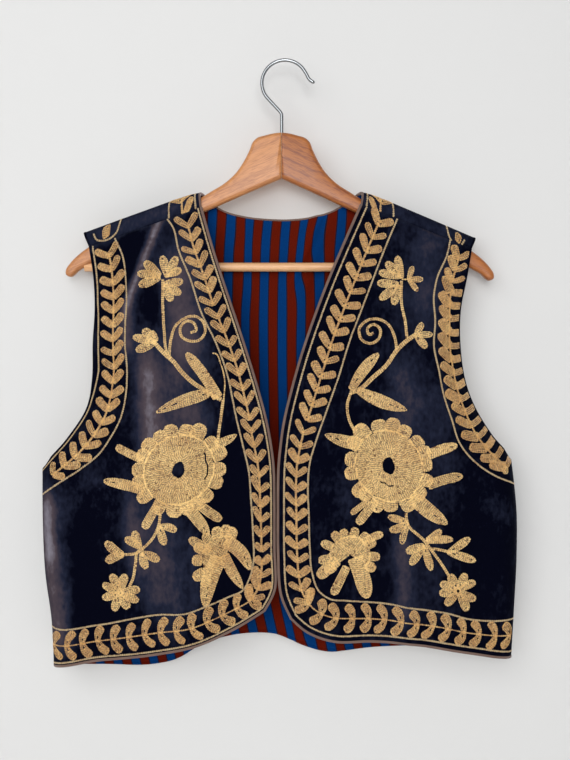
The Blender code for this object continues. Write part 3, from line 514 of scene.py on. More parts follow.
def spaced(line, step):
    """Points of a line, about a step apart."""
    line = np.asarray(line, float)
    return spread(line, np.linspace(0, 1, max(2, round(lengths_along(line)[-1] / step) + 1)))


def smooth(points, step):
    """Points about a step apart of a curve through unevenly spaced ones, which it doesn't overshoot."""
    knots = np.asarray(points, float)
    if len(knots) == 2:
        return spaced(knots, step)
    at = lengths_along(knots)
    slopes = np.gradient(knots, at, axis=0)
    where = np.linspace(0, at[-1], max(2, round(at[-1] / step) + 1))
    i = np.clip(np.searchsorted(at, where, side="right") - 1, 0, len(at) - 2)
    length = (at[i + 1] - at[i])[:, None]
    t = (where - at[i])[:, None] / length
    return hermite(knots[i], knots[i + 1], slopes[i] * length, slopes[i + 1] * length, t)


def across_line(line):
    """Unit directions square to a flat line, to the left of the way it runs."""
    along = np.gradient(line, axis=0)
    along /= np.linalg.norm(along, axis=1, keepdims=True) + 1e-9
    return np.column_stack([-along[:, 1], along[:, 0]])


def side_by_side(line, count, pitch):
    """Rows beside each other along a flat line, which runs down their middle."""
    beside = across_line(line)
    return [line + beside * (k - (count - 1) / 2) * pitch for k in range(count)]


def patch(start, end, left, right, across, up):
    """A grid of points between four curves: start and end run across, left and right run up."""
    u, v = np.asarray(across)[None, :, None], np.asarray(up)[:, None, None]
    corners = (1 - u) * (1 - v) * start[0] + u * (1 - v) * start[-1] + (1 - u) * v * end[0] + u * v * end[-1]
    return (1 - v) * start[None] + v * end[None] + (1 - u) * left[:, None] + u * right[:, None] - corners


def straight(start, end, shares):
    """Points of a straight line at the given shares of its length."""
    start, end = np.asarray(start, float), np.asarray(end, float)
    return start + np.asarray(shares)[:, None] * (end - start)


def numbered(grid, first=0):
    """The grid's point numbers, laid out as the grid is."""
    return first + np.arange(grid.shape[0] * grid.shape[1]).reshape(grid.shape[:2])


def triangles_of(*numbers):
    """Two triangles for each cell of each numbered grid, all split the same way."""
    found = []
    for grid in numbers:
        a, b, c, d = grid[:-1, :-1], grid[:-1, 1:], grid[1:, 1:], grid[1:, :-1]
        found.append(np.stack([a, b, c], axis=-1).reshape(-1, 3))
        found.append(np.stack([a, c, d], axis=-1).reshape(-1, 3))
    return np.vstack(found)


def near_lines(lines, x, z):
    """The summed height of lines at each point: rounded off across, fading at both ends."""
    total = np.zeros_like(x)
    for x0, z0, x1, z1, width, height in lines:
        run = np.array([x1 - x0, z1 - z0])
        length = np.linalg.norm(run)
        along = ((x - x0) * run[0] + (z - z0) * run[1]) / length**2
        beside = ((x - x0) * run[1] - (z - z0) * run[0]) / length
        past = np.maximum(0, np.abs(along - 0.5) - FOLD_FLAT) / FOLD_FADE
        total += height * np.exp(-((beside / width) ** 2) - past**2)
    return total


# ---------------- the panels' outer faces
def roll(distance, rows):
    """How far a panel has turned in: 1 at its side, 0 from the roll's width inwards."""
    left = 1 - np.clip(distance / ROLL_SHARE, 0, 1)
    seam = np.clip(ARMHOLE_START + 1 - rows, 0, 1)[:, None]
    return seam * (1 - np.sqrt(1 - left**2)) + (1 - seam) * left**2


def roll_stations():
    """Shares of the panel's width at which the rolled side has its columns, from the edge inwards."""
    return [ROLL_SHARE * (1 - math.cos(math.pi / 2 * k / ROLL_COLUMNS)) for k in range(ROLL_COLUMNS + 1)]


def section_rows():
    """Places of the grid's rows among the sections, with one at the underarm."""
    below = np.linspace(0, ARMHOLE_START, ROWS_BELOW + 1)
    return np.concatenate([below, np.linspace(ARMHOLE_START, SECTIONS - 1, ROWS_ABOVE + 1)[1:]])


def side_at(side, rows):
    """The side table read between its rows, with the corner at the underarm kept."""
    table = np.array(side)
    seam = through(table[: ARMHOLE_START + 1], rows)
    armhole = through(table[ARMHOLE_START:], rows - ARMHOLE_START)
    return np.where((rows <= ARMHOLE_START)[:, None], seam, armhole)


def front_grid(front):
    """Outer points of one front, as rows from the hem up and columns from the front edge to the side."""
    inner = np.linspace(0, 1 - ROLL_SHARE, FRONT_COLUMNS + 1)
    across = np.concatenate([inner, 1 - np.array(roll_stations()[-2::-1])])
    rows = section_rows()
    up = rows / rows[-1]
    sides, edges = side_at(front.side, rows), through(np.array(front.edge), rows)
    seam_line = straight(front.edge[-1][:2], front.side[-1][:2], across)
    plan = patch(evenly(front.hem[::-1], across), seam_line, edges[:, :2], sides[:, :2], across, up)
    u = across[None, :]
    edge_y, mid_y = edges[:, 2:3], edges[:, 3:4]
    side_y, side_roll = sides[:, 2:3], sides[:, 4:5]
    face_y = side_y - side_roll
    bow = mid_y - (edge_y + face_y) / 2
    turned = roll(1 - u, rows)
    y = edge_y + (face_y - edge_y) * u + 4 * bow * u * (1 - u) + side_roll * turned
    fade = (1 - turned) * np.clip((1 - up[:, None]) / FRONT_FADE_SHARE, 0, 1)
    y = y - fade * near_lines(front.folds, plan[..., 0], plan[..., 1])
    y += SEAM_SINK * np.exp(-(((1 - up[:, None]) * SEAM_SHARE) ** 2))
    y[:ROWS_BELOW, -1] += SEAM_GAP + SEAM_HOLD
    return np.dstack([plan[..., 0], y, plan[..., 1]])


def arm_y(x):
    """Depth of the hanger arms' middle plane: they sweep back from the hanger's middle."""
    return HANGER_SWEEP * np.abs(x - HANGER_MID_X)


def top_height(x):
    """Height of the line along which the back turns over the hanger's arms."""
    lines = []
    for (neck_x, neck_z), (tip_x, tip_z) in (RIGHT_TOP, LEFT_TOP):
        out = (x - neck_x) * np.sign(tip_x - neck_x)
        sink = NECK_SINK * np.exp(-np.maximum(0, out) / SINK_REACH)
        lines.append(neck_z + out * (tip_z - neck_z) / abs(tip_x - neck_x) - sink)
    return np.where(x < HANGER_MID_X, *lines)


def seam_on_pattern(end):
    """A shoulder seam's end on the back's flat pattern, which runs over the arm and down its front."""
    turn = top_height(np.array(end.x)) - WRAP_RADIUS
    return end.x, float(2 * turn + math.pi * WRAP_RADIUS - end.z - SEAM_GAP)


def fold_on_pattern(point):
    """A point of the top line on the back's flat pattern."""
    return point[0], float(top_height(np.array(point[0]))) + (math.pi / 2 - 1) * WRAP_RADIUS


def over_the_arm(x, height, y):
    """Depth and real height of a pattern point, which goes up the back, over the arm and down its front."""
    turn = top_height(x) - WRAP_RADIUS
    near = np.clip(1 - (top_height(x) - STRAP_DROP - height) / STRAP_LEAN, 0, 1)
    near = near * near * (3 - 2 * near)
    past = np.maximum(0, height - turn)
    angle = np.minimum(past / WRAP_RADIUS, math.pi)
    down = np.maximum(0, past - math.pi * WRAP_RADIUS)
    back_y = y + near * (arm_y(x) + WRAP_RADIUS - y)
    wrapped_y = np.where(past > 0, arm_y(x) + WRAP_RADIUS * np.cos(angle), back_y)
    real_z = np.where(past > 0, turn + WRAP_RADIUS * np.sin(angle) - down, height)
    return np.dstack([x, wrapped_y, real_z])


def back_stations():
    """Shares of the back's width at which it has its columns: those over one shoulder, then all of them."""
    shoulder = (STRAP_FOOT[0] - RIGHT_SIDE[-1].x) / (LEFT_SIDE[-1].x - RIGHT_SIDE[-1].x)
    half = np.concatenate([roll_stations(), np.linspace(ROLL_SHARE, shoulder, SHOULDER_COLUMNS + 1)[1:]])
    middle = np.linspace(shoulder, 1 - shoulder, NECK_COLUMNS + 1)[1:-1]
    return half, np.concatenate([half, middle, 1 - half[::-1]])


def strap_foot(front, share):
    """The foot of a shoulder strap, armhole to neck, along a line a little below the top one."""
    x = front.side[-1].x + share * (front.foot - front.side[-1].x)
    return np.column_stack([x, top_height(x) - STRAP_DROP])


def back_grid():
    """The back below its shoulder straps, on its pattern and in space, as rows from the hem up."""
    half, across = back_stations()
    rows = section_rows()
    up = rows / rows[-1]
    right_foot, left_foot = (strap_foot(front, half / half[-1]) for front in FRONTS.values())
    neck = evenly((right_foot[-1], *BACK_NECK, left_foot[-1]), np.linspace(0, 1, NECK_COLUMNS + 1))
    top = np.vstack([right_foot[:-1], neck, left_foot[-2::-1]])
    right, left = (side_at(front.side, rows) for front in FRONTS.values())
    right_line, left_line = right[:, :2].copy(), left[:, :2].copy()
    right_line[-1], left_line[-1] = top[0], top[-1]
    pattern = patch(evenly(BACK_HEM, across), top, right_line, left_line, across, up)

    x, height, u = pattern[..., 0], pattern[..., 1], across[None, :]
    mid_y = through(np.array(BACK_MID_Y)[:, None], rows)
    right_face, left_face = right[:, 3:4] + right[:, 5:6], left[:, 3:4] + left[:, 5:6]
    bow = mid_y - (right_face + left_face) / 2
    face = right_face + (left_face - right_face) * u + 4 * bow * u * (1 - u)
    right_turn, left_turn = roll(u, rows), roll(1 - u, rows)
    fade = (1 - right_turn - left_turn) * np.clip((BACK_FADE_FROM - height) / BACK_FADE_OVER, 0, 1)
    y = face - right[:, 5:6] * right_turn - left[:, 5:6] * left_turn
    y = y + fade * near_lines(BACK_FOLDS, x, height) + near_lines(NECK_CREASES, x, height)
    return pattern, over_the_arm(x, height, y)


def strap_grid(front):
    """A shoulder strap on the pattern and in space, from its foot on the back to the shoulder seam."""
    half, _ = back_stations()
    share, up = half / half[-1], np.linspace(0, 1, STRAP_ROWS + 1)
    start = strap_foot(front, share)
    end = straight(seam_on_pattern(front.side[-1]), seam_on_pattern(front.edge[-1]), share)
    armhole = evenly((start[0], fold_on_pattern(front.top[1]), end[0]), up)
    neck = evenly((start[-1], fold_on_pattern(front.top[0]), end[-1]), up)
    pattern = patch(start, end, armhole, neck, share, up)
    strap = over_the_arm(pattern[..., 0], pattern[..., 1], np.zeros(pattern.shape[:2]))
    return pattern, sewn(strap, front_grid(front)[-1])


def sewn(strap, seam):
    """A strap whose last rows are drawn to the front's top row, so that the shoulder seam is closed."""
    way = np.sign(seam[-1, 0] - seam[0, 0])
    met = read(seam, seam[:, 0] * way, strap[-1, :, 0] * way)
    share = np.clip(1 - np.arange(len(strap))[::-1] / SEAM_ROWS, 0, 1)[:, None, None]
    return strap + share * (met - strap[-1])


class Panel:
    """One panel's outer face, in space and laid flat on its pattern, and the way from one to the other."""

    def __init__(self, flat, points, triangles, seams, inward):
        self.flat, self.points, self.triangles = flat, points, triangles
        self.inward = normals_of(points, triangles, seams, inward)
        laid_out = np.column_stack([flat[:, 0], np.zeros(len(flat)), flat[:, 1]])
        self.tree = BVHTree.FromPolygons(laid_out.tolist(), triangles.tolist())

    def carry(self, places):
        """Where flat places lie on the cloth, the way out of it there, and how far off the pattern they are."""
        found = [self.tree.find_nearest((x, 0, z)) for x, z in places.tolist()]
        on = np.array([(place.x, place.z) for place, _, _, _ in found])
        corners = self.triangles[[face for _, _, face, _ in found]]
        a, b, c = (self.flat[corners[:, k]] for k in range(3))
        area = turn_of(b - a, c - a)
        second, third = turn_of(on - a, c - a) / area, turn_of(b - a, on - a) / area
        shares = np.stack([1 - second - third, second, third], axis=1)[..., None]
        out = -np.sum(shares * self.inward[corners], axis=1)
        beside = np.array([distance for _, _, _, distance in found])
        return np.sum(shares * self.points[corners], axis=1), unit(out), beside


def turn_of(a, b):
    """Signed area between flat directions."""
    return a[:, 0] * b[:, 1] - a[:, 1] * b[:, 0]


def unit(directions):
    """The same directions, each of length 1."""
    return directions / (np.linalg.norm(directions, axis=1, keepdims=True) + 1e-12)


def normals_of(points, triangles, seams, towards):
    """Unit normals on the side that looks towards +Y or -Y, square to Y along the side seams."""
    corners = points[triangles]
    face = np.cross(corners[:, 1] - corners[:, 0], corners[:, 2] - corners[:, 0])
    normal = np.zeros_like(points)
    for corner in range(3):
        np.add.at(normal, triangles[:, corner], face)
    normal[seams, 1] = 0
    normal = unit(normal)
    return normal * (1 if normal[:, 1].sum() * towards > 0 else -1)


def front_panel(front):
    """A front's panel and its points' numbers."""
    grid = front_grid(front)
    numbers = numbered(grid)
    points = grid.reshape(-1, 3)
    return Panel(points[:, [0, 2]], points, triangles_of(numbers), numbers[: ROWS_BELOW + 1, -1], 1), numbers


def back_panel():
    """The back's panel with both shoulder straps, and the numbers of its body, right and left strap."""
    pattern, body = back_grid()
    (right_pattern, right), (left_pattern, left) = (strap_grid(front) for front in FRONTS.values())
    left_pattern, left = left_pattern[:, ::-1], left[:, ::-1]
    columns = right.shape[1]
    numbers = numbered(body)
    right_numbers = np.vstack([numbers[-1:, :columns], numbered(right[1:], numbers.size)])
    left_numbers = np.vstack([numbers[-1:, -columns:], numbered(left[1:], right_numbers.max() + 1)])
    points = np.vstack([body.reshape(-1, 3), right[1:].reshape(-1, 3), left[1:].reshape(-1, 3)])
    flat = np.vstack([pattern.reshape(-1, 2), right_pattern[1:].reshape(-1, 2), left_pattern[1:].reshape(-1, 2)])
    triangles = triangles_of(numbers, right_numbers, left_numbers)
    panel = Panel(flat, points, triangles, numbers[: ROWS_BELOW + 1, [0, -1]].ravel(), -1)
    return panel, numbers, right_numbers, left_numbers


# ---------------- pieces
def piece(name, points, faces, material, replaced):
    """A smooth mesh of points in millimetres that rides on the hanger and stands for the named solids."""
    mesh = bpy.data.meshes.new(name)
    mesh.from_pydata((np.asarray(points) * MM).tolist(), [], faces)
    mesh.materials.append(material)
    mesh.polygons.foreach_set("use_smooth", [True] * len(mesh.polygons))
    mesh.update()
    obj = bpy.data.objects.new(name, mesh)
    bpy.context.scene.collection.objects.link(obj)
    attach(obj, "root")
    if replaced:
        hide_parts(*replaced)
    return obj


def note(obj, name, values):
    """Keeps a number at every point of a piece for its material to read, or three where values has columns."""
    values = np.asarray(values, np.float32)
    kind, field = ("FLOAT", "value") if values.ndim == 1 else ("FLOAT_VECTOR", "vector")
    obj.data.attributes.new(name, kind, "POINT").data.foreach_set(field, values.ravel())


def wall(outer, inner, triangles):
    """Points and faces of a closed wall. The triangles turn so that the outer points' side is out."""
    count = len(outer)
    sample = outer[triangles]
    face = np.cross(sample[:, 1] - sample[:, 0], sample[:, 2] - sample[:, 0])
    if np.sum(face * (inner - outer)[triangles[:, 0]]) > 0:
        triangles = triangles[:, ::-1]
    sides = np.vstack([triangles[:, [0, 1]], triangles[:, [1, 2]], triangles[:, [2, 0]]])
    used = set(map(tuple, sides.tolist()))
    rim = sorted((b, a, a + count, b + count) for a, b in used if (b, a) not in used)
    return np.vstack([outer, inner]), [*triangles.tolist(), *(triangles[:, ::-1] + count).tolist(), *rim]


def tube(rings):
    """Points and faces of a closed body through rings of points, with a flat end at either side."""
    count, sides = rings.shape[:2]
    ring = np.arange(sides)
    first = (np.arange(count - 1) * sides)[:, None]
    a, b = first + ring, first + (ring + 1) % sides
    quads = np.stack([a, b, b + sides, a + sides], axis=-1).reshape(-1, 4)
    ends = [ring[::-1].tolist(), (ring + sides * (count - 1)).tolist()]
    return rings.reshape(-1, 3), [*quads.tolist(), *ends]


# How far a folded binding reaches over its panel's face, how far it stands off it, and how square its section
# is: 1 is round, and less is squarer.
TAPE_OVER, TAPE_PROUD, TAPE_ROUND = 0.6, 0.35, 0.6
TAPE_WIDTH = BINDING_WIDTH + SEAM_GAP + TAPE_OVER
NECK_TAPE_WIDTH = 2.1


def tape_rings(near_rim, far_rim, inside, width):
    """Rings of a tape folded over a rim. inside: points of the panel a little way in from the rim."""
    across = far_rim - near_rim
    thick = np.linalg.norm(across, axis=1, keepdims=True)
    middle = (near_rim + far_rim) / 2
    out = unit(np.cross(np.gradient(middle, axis=0), across))
    out *= np.sign(np.sum(out * (near_rim - inside), axis=1, keepdims=True))
    depth = unit(across)
    half_width = width / 2
    rings = []
    for turn in np.linspace(0, 2 * math.pi, TAPE_SIDES, endpoint=False):
        reach, rise = math.cos(turn), math.sin(turn)
        reach = math.copysign(abs(reach) ** TAPE_ROUND, reach) * half_width
        rise = math.copysign(abs(rise) ** TAPE_ROUND, rise)
        rings.append(middle + out * (reach + half_width - TAPE_OVER) + depth * rise * (thick / 2 + TAPE_PROUD))
    return np.stack(rings, axis=1)


def make_tape(name, panel, thickness, route, inside, material, slot, width=TAPE_WIDTH, facing=None):
    """One binding along a route of the panel's point numbers. facing: its inner half's cloth, if another."""
    outer, inward = panel.points[route], panel.inward[route]
    points, faces = tube(tape_rings(outer, outer + inward * thickness, panel.points[inside], width))
    obj = piece(f"{name}_tape", points, faces, material, [name])
    run = np.repeat(lengths_along(outer), TAPE_SIDES)
    round_it = np.tile(np.arange(TAPE_SIDES), len(route))
    note(obj, "tape", np.column_stack([run, round_it, np.zeros(len(run))]))
    if facing:
        obj.data.materials.append(facing)
        note(obj, "stripe", stripes_at(points))
        for polygon in obj.data.polygons:
            polygon.material_index = int(max(corner % TAPE_SIDES for corner in polygon.vertices) <= TAPE_SIDES // 2)


# ---------------- embroidery
# On the back, how far the line beside the binding runs from the rim.
LINE_INSET = 4.2
LINE_PITCH = 0.45
# Millimetres between the points of a border's rim and lines, and of the stems.
LINE_STEP = 1.0
# A border's width is evened out over this many points of its rim.
WIDTH_EVEN = 15
# How far leaves stay from a border's lines, and how far past the rim they run where it has no line there.
VINE_CLEAR, RIM_REACH = 1.9, 2.0
# How the leaves differ: their angle in degrees, and shares of their half width and length.
LEAF_TURN, LEAF_HALF, LEAF_LENGTH, LEAF_WIDEST = (-7, 7), (0.88, 1.12), (0.92, 1.06), 0.74
# Millimetres between the points of a leaf's or petal's spine, and the fewest of them.
SPINE_STEP, SPINE_LEAST = 0.8, 10
# The share of stitches that are pulled tight, and how wide they still are: velvet shows beside them.
TIGHT_SHARE, TIGHT_WIDTH = 0.1, 0.5
# The share of a flower's stitches that are missing.
MISSED_SHARE = 0.012
# How a bloom's rings waver: the number of waves in a turn and their height, at this radius and past it.
RING_WAVES, RING_EVEN = ((3, 0.7), (5, 0.5), (11, 0.4), (18, 0.4)), 14.0
# How much longer than its mean a bloom is along its lean.
LEAN_SHARE = 0.055
# A whole bloom's eye is this much taller than wide, and its rings even out over these millimetres.
EYE_TALL, EYE_EVEN = 0.3, 5.0
# Points of a ring for each millimetre of its radius, and the fewest of them.
RING_POINTS, RING_LEAST = 7, 16
# How far a petal strays from its turn, how many row pitches its root lies inside the rim, so that no crack
# shows there, and the spread of its reach and of its half width.
PETAL_STRAY, PETAL_ROOT, PETAL_REACH, PETAL_HALF = 0.05, 0.8, (0.95, 1.05), (0.9, 1.14)
# The width of the back's borders.
BACK_BAND = 31.0


def blade_rows(blade, pitch):
    """Rows that fill a leaf or petal: loops round its spine, one inside the other."""
    root, widest = blade.root, blade.widest
    start, end = np.array(blade[:2], float), np.array(blade[2:4], float)
    length = np.linalg.norm(end - start)
    t = np.linspace(0, 1, max(SPINE_LEAST, round(length / SPINE_STEP)))[:, None]
    side = np.array([start[1] - end[1], end[0] - start[0]]) / length
    spine = start + t * (end - start) + np.sin(math.pi * t) * blade.bend * side
    beside, t = across_line(spine), t[:, 0]
    opening = root + (1 - root) * np.sin(math.pi / 2 * np.clip(t / widest, 0, 1))
    closing = (1 - np.clip((t - widest) / (1 - widest), 0, 1) ** 2) ** blade.tip
    width = blade.half * opening * closing
    count = max(1, round(blade.half / pitch))
    rows = []
    for k in range(count):
        inset = (k + 0.5) * blade.half / count
        inside = width > inset
        if inside.sum() < 3:
            break
        away = beside[inside] * (width[inside] - inset)[:, None]
        left, right = spine[inside] + away, spine[inside] - away
        rows.append(np.vstack([left, right[::-1], left[:1]]))
    return rows


def bloom_rows(bloom, pitch, chance):
    """Rows of a bloom: wavy rings or arcs round its eye, then each petal's own rows."""
    centre, whole = np.array([bloom.x, bloom.z]), bloom.end - bloom.start == 360
    phases = chance.uniform(0, 2 * math.pi, len(RING_WAVES))

    def at(turn, radius):
        """A bloom's point, or points, at a turn in radians."""
        away = radius * (1 + LEAN_SHARE * np.cos(2 * (turn - math.radians(bloom.lean))))
        tall = 1 + EYE_TALL * math.exp((bloom.eye - np.min(radius)) / EYE_EVEN) if whole else 1
        way = np.stack([np.cos(turn), np.sin(turn) * bloom.squash * tall], axis=-1)
        return centre + away[..., None] * way

    rows = []
    for radius in np.arange(bloom.eye + pitch / 2, bloom.rim - pitch / 2, pitch):
        # Each ring starts at its own place, so that the stitches of two rings never line up.
        first, sweep = bloom.start + (chance.uniform(0, 360) if whole else 0), bloom.end - bloom.start
        if abs(radius - bloom.gap) < pitch / 2:
            first, sweep = bloom.gap_at + bloom.gap_span / 2, 360 - bloom.gap_span
        turn = np.radians(np.linspace(first, first + sweep, max(RING_LEAST, round(radius * RING_POINTS))))
        wave = sum(size * np.sin(count * turn + phase) for (count, size), phase in zip(RING_WAVES, phases))
        rows.append(at(turn, radius + wave * min(1, radius / RING_EVEN)))
    for turn in np.radians(np.linspace(bloom.start, bloom.end, bloom.petals, endpoint=not whole)):
        turn = np.array(turn + chance.normal(0, PETAL_STRAY))
        root = at(turn, bloom.rim - PETAL_ROOT * pitch)
        tip = at(turn, bloom.reach * chance.uniform(*PETAL_REACH))
        half = bloom.petal_half * chance.uniform(*PETAL_HALF)
        rows += blade_rows(Blade(*root, *tip, half, root=1.0, widest=0.5), pitch)
    return rows


class Band:
    """A border between a panel's rim and a line inside it, on the flat pattern."""

    def __init__(self, rim, line, middle_of_panel, inset=LINE_INSET):
        self.rim = spaced(rim, LINE_STEP)
        if np.ndim(inset):
            inset = np.interp(np.linspace(0, 1, len(self.rim)), *np.array(inset).T)
        self.inset = inset
        inward = across_line(self.rim)
        self.inward = inward * np.sign(np.sum(inward * (np.asarray(middle_of_panel) - self.rim)))
        if np.ndim(line) == 0:
            self.width = np.full(len(self.rim), float(line))
            self.line = self.at(self.width)
        else:
            self.line = smooth(line, LINE_STEP)
            self.width = self.measure()

    def at(self, distance):
        """Points at that distance in from the rim."""
        return self.rim + self.inward * np.asarray(distance, float).reshape(-1, 1)

    def measure(self):
        """Distance from each point of the rim, straight in, to the line, evened out along the rim."""
        start, run = self.line[:-1], np.diff(self.line, axis=0)
        found = []
        for place, way in zip(self.rim, self.inward):
            apart, square = start - place, run[:, 0] * way[1] - run[:, 1] * way[0]
            square = np.where(np.abs(square) < 1e-9, 1e-9, square)
            far = (run[:, 0] * apart[:, 1] - run[:, 1] * apart[:, 0]) / square
            share = (way[0] * apart[:, 1] - way[1] * apart[:, 0]) / square
            hits = far[(share >= 0) & (share <= 1) & (far > LINE_INSET)]
            found.append(hits.min() if len(hits) else np.nan)
        found = np.array(found)
        known = ~np.isnan(found)
        found = np.interp(np.arange(len(found)), np.flatnonzero(known), found[known])
        window = np.ones(WIDTH_EVEN) / WIDTH_EVEN
        return np.convolve(np.pad(found, WIDTH_EVEN // 2, mode="edge"), window, mode="valid")

    def line_rows(self):
        """The double rows along both sides of the border, or along its inner side where it has no inset."""
        lines = [self.line] + ([self.at(self.inset)] if np.any(self.inset) else [])
        return [row for line in lines for row in side_by_side(line, 2, LINE_PITCH)]

    def vine_rows(self, vine, pitch, chance):
        """A stem and its pairs of leaves."""
        inside = self.width - self.inset
        middle = self.at(self.inset + inside * vine.middle)
        along = lengths_along(middle)
        count = round(along[-1] * (vine.to_share - vine.from_share) / vine.pitch)
        stations = np.linspace(vine.from_share, vine.to_share, count + 1) * along[-1]
        to_line = np.interp(stations, along, inside * (1 - vine.middle)) - VINE_CLEAR
        to_rim = np.interp(stations, along, inside * vine.middle) - (VINE_CLEAR if np.any(self.inset) else -RIM_REACH)
        roots, forward = read(middle, along, stations), read(unit(np.gradient(middle, axis=0)), along, stations)
        rows = []
        for k, (root, ahead, inward) in enumerate(zip(roots, unit(forward), read(self.inward, along, stations))):
            left = np.array([-ahead[1], ahead[0]])
            turned = 1 if left @ inward > 0 else -1
            for side, room, leaf in ((turned, to_line[k], vine.inner), (-turned, to_rim[k], vine.outer)):
                angle = math.radians(leaf.angle + chance.uniform(*LEAF_TURN))
                half = leaf.half * chance.uniform(*LEAF_HALF)
                length = min(leaf.length * chance.uniform(*LEAF_LENGTH), room / math.sin(angle))
                tip = root + length * (ahead * math.cos(angle) + side * left * math.sin(angle))
                rows += blade_rows(Blade(*root, *tip, half, side * vine.bend, leaf.root, LEAF_WIDEST), pitch)
        stem = np.interp([stations[0], stations[-1]], along, np.arange(len(middle)))
        return rows + side_by_side(middle[int(stem[0]) : int(stem[1]) + 1], vine.stem, pitch / 2)


# A chain stitch is two strands, each a sliver with 2 ends and 3 points round its middle. The columns
# are shares of the stitch's length, of its width and of its rise.
STRAND = np.array([(-0.72, 0.05, 0.35), (0.02, 0.57, 0.3), (0.06, 0.28, 1.0), (0.02, 0.0, 0.4), (0.68, 0.17, 0.45)])
STRAND_FACES = np.array([(0, 2, 1), (0, 3, 2), (0, 1, 3), (4, 1, 2), (4, 2, 3), (4, 3, 1)])
LINK = np.vstack([STRAND, STRAND * (1, -1, 1)])
LINK_FACES = np.vstack([STRAND_FACES, STRAND_FACES[:, ::-1] + len(STRAND)])
# Under the stitches of a row its thread lies close: a low ridge with 3 points round it, as shares of the
# row's width and of the stitches' rise, and a ring of them at this many millimetres.
GROUND = np.array([(0.47, -0.15), (0.0, 0.5), (-0.47, -0.15)])
GROUND_STEP = 2.7
# The ground's tone, below 0, gives it the gap colour: painted shade under the stitches.
GROUND_TONE = -1.0
# How far the stitches' tones spread, and the dullest one's in the flowers and in the darker borders.
TONE_SPAN, FLOWER_LIFT, BORDER_LIFT = 0.7, 0.45, -0.12
# Stitching that would run more than this past the panel's edge ends there, as it does in a seam.
SEAM_SLACK = 0.5
# A row with less of it than this share on the panel isn't worked.
LEAST_SHARE = 0.5
# Millimetres between the points that carry a row to the cloth.
ROW_STEP = 0.9
# How a stitch strays: its turn, and shares of its width and rise.
LINK_SWAY, LINK_WIDTH, LINK_RISE = 0.09, (0.94, 1.16), (0.8, 1.2)
# Where each piece of stitching starts its random draws, and where the back's vines do.
BORDER_SEED, FLOWER_SEED, BACK_SEED, BACK_VINE_SEED = 21, 22, 23, 13


def inside_runs(beside):
    """The stretches of a row that lie on the panel, as lists of its points' numbers."""
    on = np.flatnonzero(beside < SEAM_SLACK)
    if len(on) < LEAST_SHARE * len(beside):
        return []
    return [run for run in np.split(on, np.flatnonzero(np.diff(on) > 1) + 1) if len(run) > 2]


def stitch(name, panel, rows, settings, seed, lift, missed=0.0, outlines=0):
    """Works chain stitch along the rows, lines on the panel's flat pattern.

    lift: the tone of the dullest stitches; missed: the share of stitches left out; outlines: how many of the
    rows, the first ones, are worked in the greyer thread.
    """
    chance = np.random.default_rng(seed)
    rows = [spaced(row, ROW_STEP) for row in rows if len(row) > 1]
    points, outs, beside = panel.carry(np.vstack(rows))
    pitch, height = settings.row_pitch / MM, settings.thread_rise / MM
    places, alongs, ups, marks, first = [], [], [], [], 0
    ground, ground_faces, ground_count = [], [], 0
    for number, row in enumerate(rows):
        for run in inside_runs(beside[first : first + len(row)]):
            line, out = points[first + run], outs[first + run]
            distance = lengths_along(line)
            count = max(1, round(distance[-1] / (settings.stitch_length / MM)))
            at, half = (np.arange(count) + 0.5) * distance[-1] / count, distance[-1] / count / 2
            places.append(read(line, distance, at))
            alongs.append(read(line, distance, at + half) - read(line, distance, at - half))
            ups.append(read(out, distance, at))
            marks.append(np.full(count, float(number < outlines)))
            kept = np.linspace(0, len(line) - 1, max(2, round(distance[-1] / GROUND_STEP) + 1))
            kept = np.unique(kept.astype(int))
            across = unit(np.cross(out[kept], np.gradient(line, axis=0)[kept]))
            ring = across[:, None] * GROUND[:, :1] * pitch + out[kept][:, None] * GROUND[:, 1:] * height
            shape, faces = tube(line[kept][:, None] + ring)
            ground.append(shape)
            ground_faces += [[corner + ground_count for corner in face] for face in faces]
            ground_count += len(shape)
        first += len(row)
    place, along, up = np.vstack(places), np.vstack(alongs), unit(np.vstack(ups))
    length = np.linalg.norm(along, axis=1, keepdims=True)
    across = unit(np.cross(up, along))
    along = unit(along)
    sway = chance.normal(0, LINK_SWAY, (len(place), 1))
    along, across = along + across * sway, across - along * sway
    width = pitch * chance.uniform(*LINK_WIDTH, (len(place), 1))
    width[chance.uniform(0, 1, len(place)) < TIGHT_SHARE] *= TIGHT_WIDTH
    rise = height * chance.uniform(*LINK_RISE, (len(place), 1))
    links = (
        place[:, None]
        + (along * length)[:, None] * LINK[None, :, 0:1]
        + (across * width)[:, None] * LINK[None, :, 1:2]
        + (up * rise)[:, None] * LINK[None, :, 2:3]
    )
    worked = chance.uniform(0, 1, len(links)) >= missed
    links, marks = links[worked], np.concatenate(marks)[worked]
    faces = LINK_FACES[None] + ground_count + len(LINK) * np.arange(len(links))[:, None, None]
    shape = np.vstack([*ground, links.reshape(-1, 3)])
    obj = piece(name, shape, ground_faces + faces.reshape(-1, 3).tolist(), gold_thread(settings), [])
    x, _, z = links.mean(axis=1).T
    tones = chance.uniform(0, 1, len(links)) * TONE_SPAN + lift - near_lines(DARKER_THREAD, x, z)
    note(obj, "tone", np.concatenate([np.full(ground_count, GROUND_TONE), np.repeat(tones, len(LINK))]))
    note(obj, "outline", np.concatenate([np.zeros(ground_count), np.repeat(marks, len(LINK))]))


# ---------------- materials
def join(tree, node, values):
    """Joins a node's inputs to other nodes' outputs, or gives them values."""
    for key, value in values.items():
        if isinstance(value, bpy.types.NodeSocket):
            tree.links.new(value, node.inputs[key])
        else:
            node.inputs[key].default_value = value


def add(tree, kind, values=(), **settings):
    """Adds a node with its settings, and joins it up."""
    made = tree.nodes.new(kind)
    for key, value in settings.items():
        setattr(made, key, value)
    join(tree, made, dict(values))
    return made


